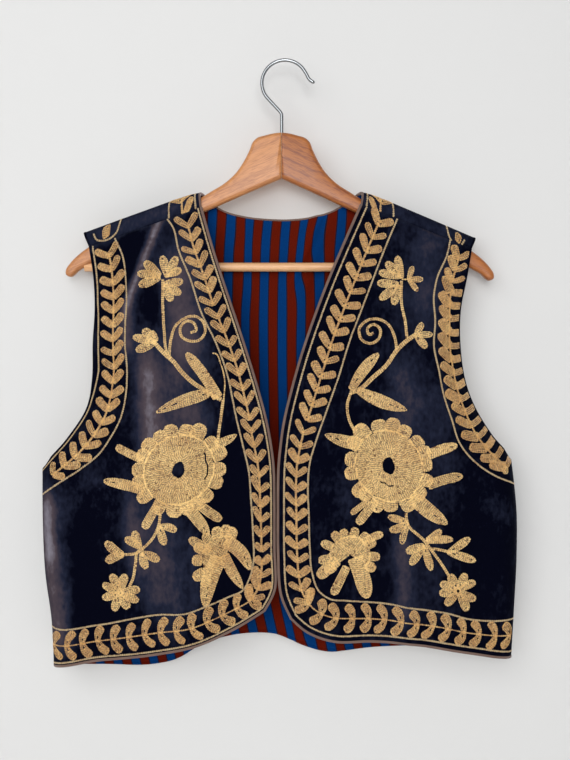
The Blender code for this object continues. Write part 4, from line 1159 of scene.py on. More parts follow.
def begin(name):
    """A new material, its node tree and its surface shader. The last two are None where it is made already."""
    if name in bpy.data.materials:
        return bpy.data.materials[name], None, None
    made = bpy.data.materials.new(name)
    made.use_nodes = True
    return made, made.node_tree, made.node_tree.nodes["Principled BSDF"]


def opaque(colour):
    """A property's colour with full alpha."""
    return (*colour, 1.0)


# The painted light's values where the velvet's ramp reaches its painted blue sheen, and its painted mauve sheen.
BLUE_SHEEN_STOP, MAUVE_SHEEN_STOP = 0.16, 0.4


def cotton_velvet(settings):
    """Cotton velvet, woven with a short cut pile and dyed: dark straight on, with painted sheen pale along streaks
    and painted shade in folds.
    """
    made, tree, shader = begin("cotton_velvet")
    if tree is None:
        return made
    nap = add(tree, "ShaderNodeAttribute", attribute_name="nap").outputs["Fac"]
    place = add(tree, "ShaderNodeTexCoord").outputs["Object"]
    # Clouds 25 mm across: the pile never lies quite alike. Streaks 4 mm apart: it parts along the warp.
    cloud = add(tree, "ShaderNodeTexNoise", {"Vector": place, "Scale": 40.0, "Detail": 3.0}).outputs["Fac"]
    warp = add(tree, "ShaderNodeMapping", {"Vector": place, "Scale": (240.0, 150.0, 150.0)}).outputs["Vector"]
    streak = add(tree, "ShaderNodeTexNoise", {"Vector": warp, "Scale": 1.0, "Detail": 2.0}).outputs["Fac"]
    mottle = add(tree, "ShaderNodeMath", {0: cloud, 1: streak}, operation="ADD").outputs[0]
    span = {"From Min": 0.7, "From Max": 1.3, "To Min": -0.07, "To Max": 0.07}
    uneven = add(tree, "ShaderNodeMapRange", {"Value": mottle, **span}).outputs["Result"]
    pale = add(tree, "ShaderNodeMath", {0: nap, 1: uneven}, operation="ADD", use_clamp=True).outputs[0]
    # The ramp paints the velvet's sheen and shade: from its dark colour through painted sheen to a painted highlight.
    ramp = add(tree, "ShaderNodeValToRGB", {"Fac": pale})
    stops = ramp.color_ramp.elements
    stops[0].color, stops[1].color = opaque(settings.velvet_colour), opaque(settings.painted_highlight_colour)
    stops.new(BLUE_SHEEN_STOP).color = opaque(settings.painted_blue_sheen_colour)
    stops.new(MAUVE_SHEEN_STOP).color = opaque(settings.painted_mauve_sheen_colour)
    # Pile 0.3 mm apart is too fine to show, so it's drawn 1 mm apart.
    pile = add(tree, "ShaderNodeTexNoise", {"Vector": place, "Scale": 1000.0, "Detail": 1.0}).outputs["Fac"]
    bump = add(tree, "ShaderNodeBump", {"Height": pile, "Strength": 0.35, "Distance": 0.0004}).outputs["Normal"]
    join(tree, shader, {"Base Color": ramp.outputs["Color"], "Normal": bump, "Roughness": 0.9, "IOR": 1.5})
    sheen = {"Sheen Weight": 0.05, "Sheen Roughness": 0.35, "Sheen Tint": opaque(settings.sheen_colour)}
    join(tree, shader, {"Specular IOR Level": 0.03, **sheen})
    return made


# Shares of the stripes' repeat where blue ends, the dark line ends and rust ends; then comes a line again.
STRIPE_STOPS = (0.44, 0.5, 0.94)


def striped_cotton(settings):
    """Plain-woven cotton with yarn-dyed stripes: matt, with a fine even weave and softly crumpled."""
    made, tree, shader = begin("striped_cotton")
    if tree is None:
        return made
    across = add(tree, "ShaderNodeAttribute", attribute_name="stripe").outputs["Fac"]
    share = add(tree, "ShaderNodeMath", {0: across, 1: settings.stripe_repeat / MM}, operation="DIVIDE").outputs[0]
    turn = add(tree, "ShaderNodeMath", {0: share}, operation="FRACT").outputs[0]
    ramp = add(tree, "ShaderNodeValToRGB", {"Fac": turn})
    ramp.color_ramp.interpolation = "CONSTANT"
    stops = ramp.color_ramp.elements
    stops[0].color, stops[1].position = opaque(settings.blue_colour), STRIPE_STOPS[0]
    stops[1].color = opaque(settings.dark_line_colour)
    stops.new(STRIPE_STOPS[1]).color = opaque(settings.rust_colour)
    stops.new(STRIPE_STOPS[2]).color = opaque(settings.dark_line_colour)
    place = add(tree, "ShaderNodeTexCoord").outputs["Object"]
    # Threads 0.35 mm apart are drawn 1.2 mm apart, and the cloth's crumple is 12 mm across.
    weave = add(tree, "ShaderNodeTexNoise", {"Vector": place, "Scale": 830.0, "Detail": 1.0}).outputs["Fac"]
    crumple = add(tree, "ShaderNodeTexNoise", {"Vector": place, "Scale": 80.0, "Detail": 2.0}).outputs["Fac"]
    fine = add(tree, "ShaderNodeBump", {"Height": weave, "Strength": 0.3, "Distance": 0.0003}).outputs["Normal"]
    bump = add(tree, "ShaderNodeBump", {"Height": crumple, "Strength": 0.5, "Distance": 0.002, "Normal": fine})
    join(tree, shader, {"Base Color": ramp.outputs["Color"], "Normal": bump.outputs["Normal"]})
    join(tree, shader, {"Roughness": 0.85, "Specular IOR Level": 0.04})
    return made


def twill_tape(settings):
    """Cotton bias tape, woven in a fine twill: matt brown with slanting ribs and a paler folded edge."""
    made, tree, shader = begin("twill_tape")
    if tree is None:
        return made
    place = add(tree, "ShaderNodeAttribute", attribute_name="tape").outputs["Vector"]
    # Ribs 0.6 mm apart along the tape slant across it, and it is worn here and there, 17 mm apart.
    lean = add(tree, "ShaderNodeMapping", {"Vector": place, "Scale": (0.5, 0.35, 1.0)}).outputs["Vector"]
    ribs = {"Vector": lean, "Scale": 1.0, "Distortion": 1.5, "Detail": 1.0}
    rib = add(tree, "ShaderNodeTexWave", ribs).outputs["Fac"]
    worn = add(tree, "ShaderNodeTexNoise", {"Vector": place, "Scale": 0.06, "Detail": 3.0}).outputs["Fac"]
    tone = add(tree, "ShaderNodeMath", {0: rib, 1: worn}, operation="MULTIPLY").outputs[0]
    blend = {"Factor": tone, "A": opaque(settings.tape_shade_colour), "B": opaque(settings.tape_colour)}
    colour = add(tree, "ShaderNodeMix", blend, data_type="RGBA").outputs["Result"]
    bump = add(tree, "ShaderNodeBump", {"Height": rib, "Strength": 0.5, "Distance": 0.0003}).outputs["Normal"]
    join(tree, shader, {"Base Color": colour, "Normal": bump, "Roughness": 0.75})
    join(tree, shader, {"Specular IOR Level": 0.3, "Sheen Weight": 0.15})
    return made


def gold_thread(settings):
    """Mercerised cotton thread in old gold, in chain stitch: each stitch catches the light a little differently."""
    made, tree, shader = begin("gold_cotton_thread")
    if tree is None:
        return made
    tone = add(tree, "ShaderNodeAttribute", attribute_name="tone").outputs["Fac"]
    place = add(tree, "ShaderNodeTexCoord").outputs["Object"]
    # Skeins differ over 30 mm or so.
    skein = add(tree, "ShaderNodeTexNoise", {"Vector": place, "Scale": 35.0, "Detail": 2.0}).outputs["Fac"]
    mixed = add(tree, "ShaderNodeMath", {0: tone, 1: skein}, operation="MULTIPLY").outputs[0]
    lifted = add(tree, "ShaderNodeMapRange", {"Value": mixed, "From Max": 0.55}).outputs["Result"]
    blend = {"Factor": lifted, "A": opaque(settings.thread_shade_colour), "B": opaque(settings.thread_colour)}
    gold = add(tree, "ShaderNodeMix", blend, data_type="RGBA").outputs["Result"]
    outline = add(tree, "ShaderNodeAttribute", attribute_name="outline").outputs["Fac"]
    blend = {"Factor": outline, "A": gold, "B": opaque(settings.thread_outline_colour)}
    thread = add(tree, "ShaderNodeMix", blend, data_type="RGBA").outputs["Result"]
    # The thread under the stitches, marked by a tone below 0, lies in their shade, and so do the holes of the
    # chain's loops, 2 mm apart.
    above = add(tree, "ShaderNodeMapRange", {"Value": tone, "From Min": GROUND_TONE, "From Max": 0.0})
    loops = add(tree, "ShaderNodeTexNoise", {"Vector": place, "Scale": 480.0, "Detail": 1.0}).outputs["Fac"]
    span = {"From Min": 0.55, "From Max": 0.68, "To Min": 1.0, "To Max": 0.35}
    shut = add(tree, "ShaderNodeMapRange", {"Value": loops, **span}).outputs["Result"]
    lit = add(tree, "ShaderNodeMath", {0: above.outputs["Result"], 1: shut}, operation="MULTIPLY").outputs[0]
    blend = {"Factor": lit, "A": opaque(settings.thread_gap_shade_colour), "B": thread}
    worked = add(tree, "ShaderNodeMix", blend, data_type="RGBA").outputs["Result"]
    join(tree, shader, {"Base Color": worked, "Roughness": 0.55, "Specular IOR Level": 0.35, "Sheen Weight": 0.25})
    return made


def varnished_wood(name, colour, grain_colour, figure=(0.14, 0.36)):
    """Flat-sawn hardwood, planed and thinly varnished: long dark grain lines under a satin gloss.

    figure: between which noise values the grain fades, so that close ones draw it boldly.
    """
    made, tree, shader = begin(name)
    if tree is None:
        return made
    place = add(tree, "ShaderNodeAttribute", attribute_name="grain").outputs["Vector"]
    # Growth rings 5 mm apart, drawn out 25 times along the board; pores 0.6 mm wide and 12 mm long.
    long_way = add(tree, "ShaderNodeMapping", {"Vector": place, "Scale": (0.008, 0.2, 0.2)}).outputs["Vector"]
    rings = add(tree, "ShaderNodeTexNoise", {"Vector": long_way, "Scale": 1.0, "Detail": 4.0, "Roughness": 0.6})
    short_way = add(tree, "ShaderNodeMapping", {"Vector": place, "Scale": (0.08, 1.6, 1.6)}).outputs["Vector"]
    pores = add(tree, "ShaderNodeTexNoise", {"Vector": short_way, "Scale": 1.0, "Detail": 2.0}).outputs["Fac"]
    both = add(tree, "ShaderNodeMath", {0: rings.outputs["Fac"], 1: pores}, operation="MULTIPLY").outputs[0]
    share = add(tree, "ShaderNodeMapRange", {"Value": both, "From Min": figure[0], "From Max": figure[1]})
    blend = {"Factor": share.outputs["Result"], "A": opaque(grain_colour), "B": opaque(colour)}
    mixed = add(tree, "ShaderNodeMix", blend, data_type="RGBA").outputs["Result"]
    bump = add(tree, "ShaderNodeBump", {"Height": pores, "Strength": 0.04, "Distance": 0.0002}).outputs["Normal"]
    join(tree, shader, {"Base Color": mixed, "Normal": bump, "Roughness": 0.42, "IOR": 1.5})
    join(tree, shader, {"Coat Weight": 0.06, "Coat Roughness": 0.3})
    return made


def plated_wire(settings):
    """Steel wire, drawn and bright nickel plated: mirror-like, with faint handling marks."""
    made, tree, shader = begin("nickel_plated_wire")
    if tree is None:
        return made
    place = add(tree, "ShaderNodeTexCoord").outputs["Object"]
    # Handling marks about 2 mm across.
    marks = add(tree, "ShaderNodeTexNoise", {"Vector": place, "Scale": 500.0, "Detail": 2.0}).outputs["Fac"]
    rough = add(tree, "ShaderNodeMapRange", {"Value": marks, "To Min": 0.12, "To Max": 0.26}).outputs["Result"]
    join(tree, shader, {"Roughness": rough, "Base Color": opaque(settings.wire_colour), "Metallic": 1.0})
    return made


def limewashed_plaster(name, colour, one_sided):
    """Plaster, trowelled flat and limewashed: dead matt and pale, with a barely uneven face.

    one_sided: it is clear from behind, so that it hides nothing in front of it.
    """
    made, tree, shader = begin(name)
    if tree is None:
        return made
    place = add(tree, "ShaderNodeTexCoord").outputs["Object"]
    # Trowel marks 70 mm across.
    trowel = add(tree, "ShaderNodeTexNoise", {"Vector": place, "Scale": 14.0, "Detail": 4.0}).outputs["Fac"]
    bump = add(tree, "ShaderNodeBump", {"Height": trowel, "Strength": 0.12, "Distance": 0.003}).outputs["Normal"]
    join(tree, shader, {"Base Color": opaque(linear(colour)), "Normal": bump, "Roughness": 0.95})
    join(tree, shader, {"Specular IOR Level": 0.1})
    if one_sided:
        behind = add(tree, "ShaderNodeNewGeometry").outputs["Backfacing"]
        clear = add(tree, "ShaderNodeBsdfTransparent").outputs[0]
        both = add(tree, "ShaderNodeMixShader", {0: behind, 1: shader.outputs[0], 2: clear})
        join(tree, tree.nodes["Material Output"], {"Surface": both.outputs[0]})
    return made


# ---------------- what the user can change
def colour_of(label, text, hex_colour):
    """A colour property."""
    return bpy.props.FloatVectorProperty(
        name=label, description=text, subtype="COLOR", size=3, min=0, max=1, default=linear(hex_colour)
    )


def size_of(label, text, millimetres):
    """A length property."""
    kind = {"min": 0.0001, "precision": 5, "subtype": "DISTANCE", "unit": "LENGTH"}
    return bpy.props.FloatProperty(name=label, description=text, default=millimetres * MM, **kind)


class WaistcoatSettings(bpy.types.PropertyGroup):
    """Colours and sizes of the waistcoat and its hanger."""

    velvet_colour: colour_of("Velvet", "The pile seen straight on", "#02030f")
    # Brushed, turned and pressed velvet are colours of painted sheen, the pressed one a painted highlight.
    painted_blue_sheen_colour: colour_of("Brushed velvet", "The pile where it lies a little aside", "#1c2030")
    painted_mauve_sheen_colour: colour_of("Turned velvet", "The pile where it leans away", "#453c42")
    painted_highlight_colour: colour_of("Pressed velvet", "The pile where it is pressed flat", "#a5a3b0")
    sheen_colour: colour_of("Velvet sheen", "Light that the pile's tips send back", "#8487a6")
    blue_colour: colour_of("Blue stripe", "The lining's blue", "#012f63")
    rust_colour: colour_of("Rust stripe", "The lining's rust red", "#551103")
    dark_line_colour: colour_of("Line between stripes", "The lining's dark line", "#1c1420")
    tape_colour: colour_of("Binding", "The bias tape", "#8f7466")
    tape_shade_colour: colour_of("Binding's ribs", "The tape between its ribs", "#5a463e")
    thread_colour: colour_of("Thread", "The gold thread in full light", "#ffda8e")
    thread_shade_colour: colour_of("Thread's shade", "The duller stitches", "#cb9852")
    thread_outline_colour: colour_of("Outline thread", "The greyer thread of the borders' outlines", "#bca478")
    # The gap thread's colour is painted shade under and between the stitches.
    thread_gap_shade_colour: colour_of("Thread gaps", "The thread between and under the stitches", "#865a2a")
    # The boards' colours differ partly in the wood and partly by painted light: the right's paler colour holds light,
    # the left's redder one painted shade.
    right_wood_and_light_colour: colour_of("Right arm's wood", "The paler board of the hanger", "#bd804c")
    left_wood_and_shade_colour: colour_of("Left arm's wood", "The redder board of the hanger", "#a05f2a")
    grain_colour: colour_of("Grain", "The wood's dark grain", "#7a4020")
    bar_colour: colour_of("Bar's wood", "The pale dowel", "#dcae80")
    bar_grain_colour: colour_of("Bar's grain", "The dowel's grain", "#c69262")
    wire_colour: colour_of("Wire", "The plated hook", "#8d9092")
    stripe_repeat: size_of("Stripe repeat", "Width of one blue and one rust stripe with their lines", 19.0)
    stitch_length: size_of("Stitch length", "Length of one chain stitch", 2.2)
    row_pitch: size_of("Row spacing", "Distance between rows of stitching", 1.45)
    thread_rise: size_of("Thread height", "How far the stitches stand off the cloth", 0.34)


# ---------------- the garment's pieces
# The shell's share of a front's wall: velvet outside, lining inside, with a gap between them.
VELVET_WALL, FRONT_LINING_FROM = 1.3, 1.6
# How the lining's stripes stray: the bottom slants, and they waver along their length and lean with depth.
STRIPE_SLANT, SLANT_FROM = 0.22, -560.0
STRIPE_WAVER, WAVER_LENGTH, WAVER_DRIFT, STRIPE_SHIFT, STRIPE_LEAN = 1.3, 60.0, 45.0, 1.3, 0.35


def stripes_at(points):
    """Distance across the lining's stripes at each point, in millimetres."""
    x, y, z = points.T
    slant = STRIPE_SLANT * np.minimum(0, z - SLANT_FROM)
    waver = STRIPE_WAVER * np.sin(z / WAVER_LENGTH + x / WAVER_DRIFT)
    return x - STRIPE_SHIFT + slant + STRIPE_LEAN * y + waver + near_lines(STRIPE_PULLS, x, z)


def make_velvet(name, node, panel, wall_depth, streaks, settings):
    """A panel's velvet, with painted sheen and painted shade along the streaks."""
    points, faces = wall(panel.points, panel.points + panel.inward * wall_depth, panel.triangles)
    velvet = piece(name, points, faces, cotton_velvet(settings), [node])
    note(velvet, "nap", np.tile(near_lines(streaks, *panel.flat.T), 2))
    return velvet


def make_lining(name, node, panel, outer_depth, inner_depth, settings):
    """A panel's striped lining, between two depths under its outer face."""
    outer, inner = (panel.points + panel.inward * depth for depth in (outer_depth, inner_depth))
    points, faces = wall(outer, inner, panel.triangles)
    lining = piece(name, points, faces, striped_cotton(settings), [node])
    note(lining, "stripe", stripes_at(points))
    return lining


def make_front(side, settings):
    """One front: its velvet and the lining behind it."""
    node = f"{side}_front"
    panel, _ = front_panel(FRONTS[side])
    velvet = make_velvet(f"{node}_velvet", node, panel, VELVET_WALL, FRONTS[side].nap, settings)
    lining = make_lining(f"{node}_lining", node, panel, FRONT_LINING_FROM, FRONT_WALL, settings)


def make_back(settings):
    """The back's velvet and the striped lining that shows inside it."""
    panel, *_ = back_panel()
    velvet = make_velvet("back_velvet", "back", panel, BACK_WALL, BACK_PAINTED_LIGHT, settings)
    depth = BACK_WALL + SEAM_GAP
    lining = make_lining("back_striped_lining", "back_lining", panel, depth, depth + LINING_WALL, settings)
    trims = [f"{side}_back_armhole_binding_tape" for side in ("right", "left")]
    trims += ["back_neck_binding_tape", "back_hem_binding_tape", "back_borders"]


def edge_route(numbers):
    """A front's hem from its side seam and its edge up to the shoulder: the rim and the line beside it."""
    return np.concatenate([numbers[0, ::-1], numbers[1:, 0]]), np.concatenate([numbers[1, ::-1], numbers[1:, 1]])


def neck_route(numbers, right, left):
    """The back's neck from the right shoulder seam to the left one, in the same two lines."""
    columns = right.shape[1]
    neck = slice(columns - 1, numbers.shape[1] - columns + 1)
    route = np.concatenate([right[:0:-1, -1], numbers[-1, neck], left[1:, 0]])
    return route, np.concatenate([right[:0:-1, -2], numbers[-2, neck], left[1:, 1]])


def back_armhole_route(numbers, strap, edge):
    """One of the back's armholes from the underarm to the seam. edge is 0 on the right, -1 on the left."""
    beside = 1 if edge == 0 else -2
    route = np.concatenate([numbers[ROWS_BELOW:, edge], strap[1:, edge]])
    return route, np.concatenate([numbers[ROWS_BELOW:, beside], strap[1:, beside]])


def make_bindings(settings):
    """The brown tape round the fronts, neck and hem, and the turned velvet round the armholes."""
    brown, dark = twill_tape(settings), cotton_velvet(settings)
    for side, front in FRONTS.items():
        panel, numbers = front_panel(front)
        make_tape(f"{side}_front_edge_binding", panel, FRONT_WALL, *edge_route(numbers), brown, "binding")
        armhole = numbers[ROWS_BELOW:, -1], numbers[ROWS_BELOW:, -2]
        make_tape(f"{side}_front_armhole_binding", panel, FRONT_WALL, *armhole, dark, "velvet")
    panel, numbers, right, left = back_panel()
    thickness = BACK_WALL + SEAM_GAP + LINING_WALL
    neck = neck_route(numbers, right, left)
    make_tape("back_neck_binding", panel, thickness, *neck, brown, "binding", NECK_TAPE_WIDTH)
    striped = striped_cotton(settings)
    make_tape("back_hem_binding", panel, thickness, numbers[0], numbers[1], brown, "binding", facing=striped)
    for side, strap, edge in (("right", right, 0), ("left", left, -1)):
        route = back_armhole_route(numbers, strap, edge)
        make_tape(f"{side}_back_armhole_binding", panel, thickness, *route, dark, "velvet")


def embroider_front(side, settings):
    """The borders and flowers worked on one front."""
    front = FRONTS[side]
    panel, numbers = front_panel(front)
    pitch = settings.row_pitch / MM
    chance = np.random.default_rng(front.seed)
    middle = panel.flat.mean(axis=0)
    edge = Band(panel.flat[edge_route(numbers)[0]], front.edge_line, middle, front.edge_inset)
    arm = Band(panel.flat[numbers[ROWS_BELOW:, -1]], front.arm_line, middle, front.arm_inset)
    rows = edge.line_rows() + arm.line_rows()
    outlines = len(rows)
    for band, vines in ((edge, front.edge_vines), (arm, front.arm_vines)):
        for vine in vines:
            rows += band.vine_rows(vine, pitch, chance)
    stitch(f"{side}_front_borders", panel, rows, settings, BORDER_SEED, BORDER_LIFT, outlines=outlines)

    rows = []
    for bloom in front.blooms:
        rows += bloom_rows(bloom, pitch, chance)
    for blade in front.leaves + front.petals:
        rows += blade_rows(blade, pitch)
    for stem in front.stems:
        rows += side_by_side(smooth(stem.points, LINE_STEP), stem.rows, pitch)
    stitch(f"{side}_front_flowers", panel, rows, settings, FLOWER_SEED, FLOWER_LIFT, missed=MISSED_SHARE)


def embroider_back(settings):
    """The borders round the back's neck, armholes and hem. Each vine grows to the middle or to a shoulder."""
    panel, numbers, right, left = back_panel()
    pitch = settings.row_pitch / MM
    chance = np.random.default_rng(BACK_VINE_SEED)
    middle = panel.flat[numbers].reshape(-1, 2).mean(axis=0)
    straps = ((right[:STRAP_FOLD_ROW], 0), (left[:STRAP_FOLD_ROW], -1))
    routes = [back_armhole_route(numbers, strap, edge)[0] for strap, edge in straps]
    for route in (neck_route(numbers, right, left)[0], numbers[0]):
        half = len(route) // 2
        routes += [route[: half + 1], route[: half - 1 : -1]]
    lines, leaves = [], []
    for route in routes:
        band = Band(panel.flat[route], BACK_BAND, middle)
        lines += band.line_rows()
        leaves += band.vine_rows(BACK_VINE, pitch, chance)
    for cap, bud in ((RIGHT_CAP, RIGHT_BUD), (LEFT_CAP, LEFT_BUD)):
        lines += side_by_side(smooth(cap, LINE_STEP), 2, LINE_PITCH)
        leaves += blade_rows(bud, pitch)
    stitch("back_borders", panel, lines + leaves, settings, BACK_SEED, BORDER_LIFT, outlines=len(lines))


# ---------------- the hanger
EDGE_STEPS = 6
# Millimetres between the points of an arm's outline. Its edges are rounded by no more than this share of the
# outline's own radius, which is evened out over this many points.
ARM_STEP, TIGHT_ROUND, ROUND_EVEN = 2.0, 0.6, 11
# The two boards differ, so their grain is read this far apart on either side.
BOARD_APART = 400
RIGHT_FIGURE, LEFT_FIGURE = (0.02, 0.3), (0.17, 0.27)
# The boards' grain runs along the arms, which slope down by this much.
ARM_SLOPE = math.radians(23.4)
# The bar's rings along it, and how much its ends are turned down: along it and round it.
BAR_STATIONS, BAR_CHAMFER = np.linspace(-180, 180, 19), (0.4, 0.5)
# Steps along the hook's curve as shares of the way between its points, and millimetres between its rings.
HOOK_CURVE_STEP, HOOK_STEP = 0.1, 1.2
# How thick the tail's last two rings are, as shares of the wire.
HOOK_TAIL_ROUND = (0.9, 0.55)


def make_arm(name, direction, reach, droop, material):
    """One half of the hanger, its outline smoothed and its long edges rounded over."""
    tip = HANGER_OUTLINE[HANGER_TIP][0]
    knots = np.array([(d * reach, z - droop * d / tip) for d, z in HANGER_OUTLINE])
    outline = smooth(knots, ARM_STEP)
    inward = -across_line(outline)
    bend = np.linalg.norm(np.gradient(unit(np.gradient(outline, axis=0)), axis=0), axis=1) / ARM_STEP
    rounding = np.minimum(HANGER_EDGE_ROUND, TIGHT_ROUND / np.maximum(bend, 1e-3))
    window = np.ones(ROUND_EVEN) / ROUND_EVEN
    rounding = np.convolve(np.pad(rounding, ROUND_EVEN // 2, mode="edge"), window, mode="valid")
    if np.sum(inward * (outline.mean(axis=0) - outline)) < 0:
        inward = -inward
    rings = []
    half = HANGER_THICK / 2
    for face in (-1, 1):
        for turn in np.linspace(0, math.pi / 2, EDGE_STEPS)[:: -face]:
            inset = rounding * (1 - math.sin(turn))
            lines = outline + inward * inset[:, None]
            lines[[0, -1], 0] = SEAM_GAP / 2
            lines[:, 0] = np.maximum(lines[:, 0], SEAM_GAP / 2)
            y = face * (half - rounding * (1 - math.cos(turn)))
            rings.append(np.column_stack([lines[:, 0], y + HANGER_SWEEP * lines[:, 0], lines[:, 1]]))
    rings = np.array(rings)
    number = numbered(rings)
    quads = np.stack([number[:-1, :-1], number[:-1, 1:], number[1:, 1:], number[1:, :-1]], axis=-1).reshape(-1, 4)
    mitre = [*number[:, 0].tolist(), *number[::-1, -1].tolist()]
    faces = [*quads.tolist(), number[0, ::-1].tolist(), number[-1].tolist(), mitre]
    if direction > 0:
        faces = [face[::-1] for face in faces]
    points = rings.reshape(-1, 3) * (direction, 1, 1) + (HANGER_MID_X, 0, 0)
    obj = piece(name, points, faces, material, [name.replace("arm_wood", "arm")])
    out, height = rings[..., 0].ravel(), rings[..., 2].ravel()
    along = out * math.cos(ARM_SLOPE) - height * math.sin(ARM_SLOPE)
    across = out * math.sin(ARM_SLOPE) + height * math.cos(ARM_SLOPE)
    note(obj, "grain", np.column_stack([along + direction * BOARD_APART, across, rings[..., 1].ravel()]))


def make_hanger(settings):
    """The two arms and the trouser bar."""
    grain = settings.grain_colour
    # The boards differ partly in their wood and partly by painted light and shade: the right's paler colour holds the
    # light that falls on it, the left's redder one the shade it lies in.
    right = varnished_wood("varnished_maple_pale_and_lit", settings.right_wood_and_light_colour, grain, RIGHT_FIGURE)
    left = varnished_wood("varnished_maple_red_and_shaded", settings.left_wood_and_shade_colour, grain, LEFT_FIGURE)
    make_arm("hanger_right_arm_wood", -1, 1.0, 0.0, right)
    make_arm("hanger_left_arm_wood", 1, LEFT_ARM_REACH, LEFT_ARM_DROOP, left)
    dowel = varnished_wood("turned_beech", settings.bar_colour, settings.bar_grain_colour)
    turn = np.linspace(0, 2 * math.pi, BAR_SIDES, endpoint=False)
    start, end = BAR_ENDS
    x = np.array([start, start + BAR_CHAMFER[0], *BAR_STATIONS, end - BAR_CHAMFER[0], end])
    radius = np.full(len(x), BAR_RADIUS)
    radius[[0, -1]] -= BAR_CHAMFER[1]
    ring = np.stack([np.cos(turn), np.sin(turn)], axis=-1)[None] * radius[:, None, None]
    rings = np.concatenate([np.broadcast_to(x[:, None, None], (len(x), BAR_SIDES, 1)), ring], axis=-1)
    points, faces = tube(rings)
    points = points + (HANGER_MID_X, HANGER_SWEEP * BAR_REACH, BAR_Z)
    bar = piece("hanger_bar_dowel", points, faces, dowel, ["hanger_bar"])
    note(bar, "grain", points)


def make_hook(settings):
    """The wire hook: a straight stem, a slanting run, a round over the top and a turned-out tail."""
    ring_z = HOOK_WIRE_RADIUS - HOOK_RING_RADIUS
    turn = np.radians(np.linspace(HOOK_ARC_FROM, HOOK_ARC_TO, HOOK_ARC_STEPS))
    arc = np.column_stack([HOOK_RING_RADIUS * np.cos(turn), ring_z + HOOK_RING_RADIUS * np.sin(turn)])
    stem_foot = HANGER_OUTLINE[0][1] - HOOK_STEM_DEPTH
    route = np.vstack([[(HANGER_MID_X, stem_foot), (HANGER_MID_X, HOOK_STEM_TOP)], HOOK_BEND, arc, HOOK_TAIL])
    past_end = len(route) - 1 + HOOK_CURVE_STEP / 2
    line = spaced(through(route, np.arange(0, past_end, HOOK_CURVE_STEP)), HOOK_STEP)
    side = -across_line(line)
    radius = np.full(len(line), HOOK_WIRE_RADIUS)
    radius[-2:] *= HOOK_TAIL_ROUND
    rings = []
    for angle in np.linspace(0, 2 * math.pi, HOOK_SIDES, endpoint=False):
        off = side * (math.cos(angle) * radius)[:, None]
        rings.append(np.column_stack([line[:, 0] + off[:, 0], math.sin(angle) * radius, line[:, 1] + off[:, 1]]))
    points, faces = tube(np.stack(rings, axis=1))
    piece("hanger_hook_wire", points, faces, plated_wire(settings), ["hanger_hook"])


# ---------------- the stage
# In metres: where the wall and floor are, and how far they reach up, to either side and towards the viewer.
WALL_Y, FLOOR_Z = 0.038, -1.35
STAGE_TOP, STAGE_WIDE, STAGE_NEAR = 2.2, 3.0, -4.0
# The camera's place in metres, and its lens and sensor in millimetres.
CAMERA_AT, CAMERA_LENS, CAMERA_SENSOR = (0.0, -1.0, -0.3285), 45.88, 36.0
# Each lamp's name, place, target and size in metres, power in watts, and colour.
LAMPS = (
    ("window", (-0.8, -2.2, 0.35), (0.0, 0.0, -0.3), 2.0, 38.0, "#fdfdff"),
    ("fill", (0.1, -2.4, -0.1), (0.0, 0.0, -0.25), 0.8, 20.5, "#fdfdff"),
    ("room", (1.2, 2.0, 0.6), (0.0, 0.0, -0.3), 1.6, 60.0, "#f2f4ff"),
)
SKY_COLOUR, SKY_STRENGTH = "#f4f4f6", 0.38


def plane(name, corners, material):
    """A flat four-sided backdrop."""
    mesh = bpy.data.meshes.new(name)
    mesh.from_pydata(corners, [], [(0, 1, 2, 3)])
    mesh.materials.append(material)
    obj = bpy.data.objects.new(name, mesh)
    bpy.context.scene.collection.objects.link(obj)
    return obj


def lamp(name, place, target, size, power, colour):
    """A square soft light that faces a point."""
    light = bpy.data.lights.new(name, "AREA")
    light.shape, light.size, light.energy, light.color = "SQUARE", size, power, linear(colour)
    obj = bpy.data.objects.new(name, light)
    obj.location = place
    obj.rotation_euler = (Vector(target) - Vector(place)).to_track_quat("-Z", "Y").to_euler()
    bpy.context.scene.collection.objects.link(obj)


def make_stage():
    """A pale wall and floor, soft light from the upper left, and the camera."""
    top, low, wide, near = STAGE_TOP, FLOOR_Z, STAGE_WIDE, STAGE_NEAR
    upright = [(-wide, WALL_Y, low), (wide, WALL_Y, low), (wide, WALL_Y, top), (-wide, WALL_Y, top)]
    backdrop = plane("wall", upright, limewashed_plaster("limewashed_plaster", "#cfcfcd", True))
    backdrop.visible_shadow = False
    ground = [(-wide, near, low), (wide, near, low), (wide, wide, low), (-wide, wide, low)]
    plane("floor", ground, limewashed_plaster("pale_floor", "#e6e5e2", False))
    for values in LAMPS:
        lamp(*values)
    world = bpy.data.worlds.new("studio")
    world.use_nodes = True
    background = world.node_tree.nodes["Background"]
    join(world.node_tree, background, {"Color": opaque(linear(SKY_COLOUR)), "Strength": SKY_STRENGTH})
    bpy.context.scene.world = world
    bpy.context.scene.view_settings.view_transform = "Standard"
    camera = bpy.data.objects.new("camera", bpy.data.cameras.new("camera"))
    camera.location, camera.rotation_euler = CAMERA_AT, (math.radians(90), 0, 0)
    camera.data.lens, camera.data.sensor_width = CAMERA_LENS, CAMERA_SENSOR
    bpy.context.scene.collection.objects.link(camera)
    bpy.context.scene.camera = camera


# ---------------- operators, panel and main
class WAISTCOAT_OT_stage(bpy.types.Operator):
    """Make the wall, floor, lights and camera"""

    bl_idname = "waistcoat.stage"
    bl_label = "Stage"

    def execute(self, context):
        make_stage()
        return {"FINISHED"}


class WAISTCOAT_OT_hanger(bpy.types.Operator):
    """Make the hanger's two wooden arms and its trouser bar"""

    bl_idname = "waistcoat.hanger"
    bl_label = "Hanger"

    def execute(self, context):
        make_hanger(context.scene.waistcoat)
        return {"FINISHED"}


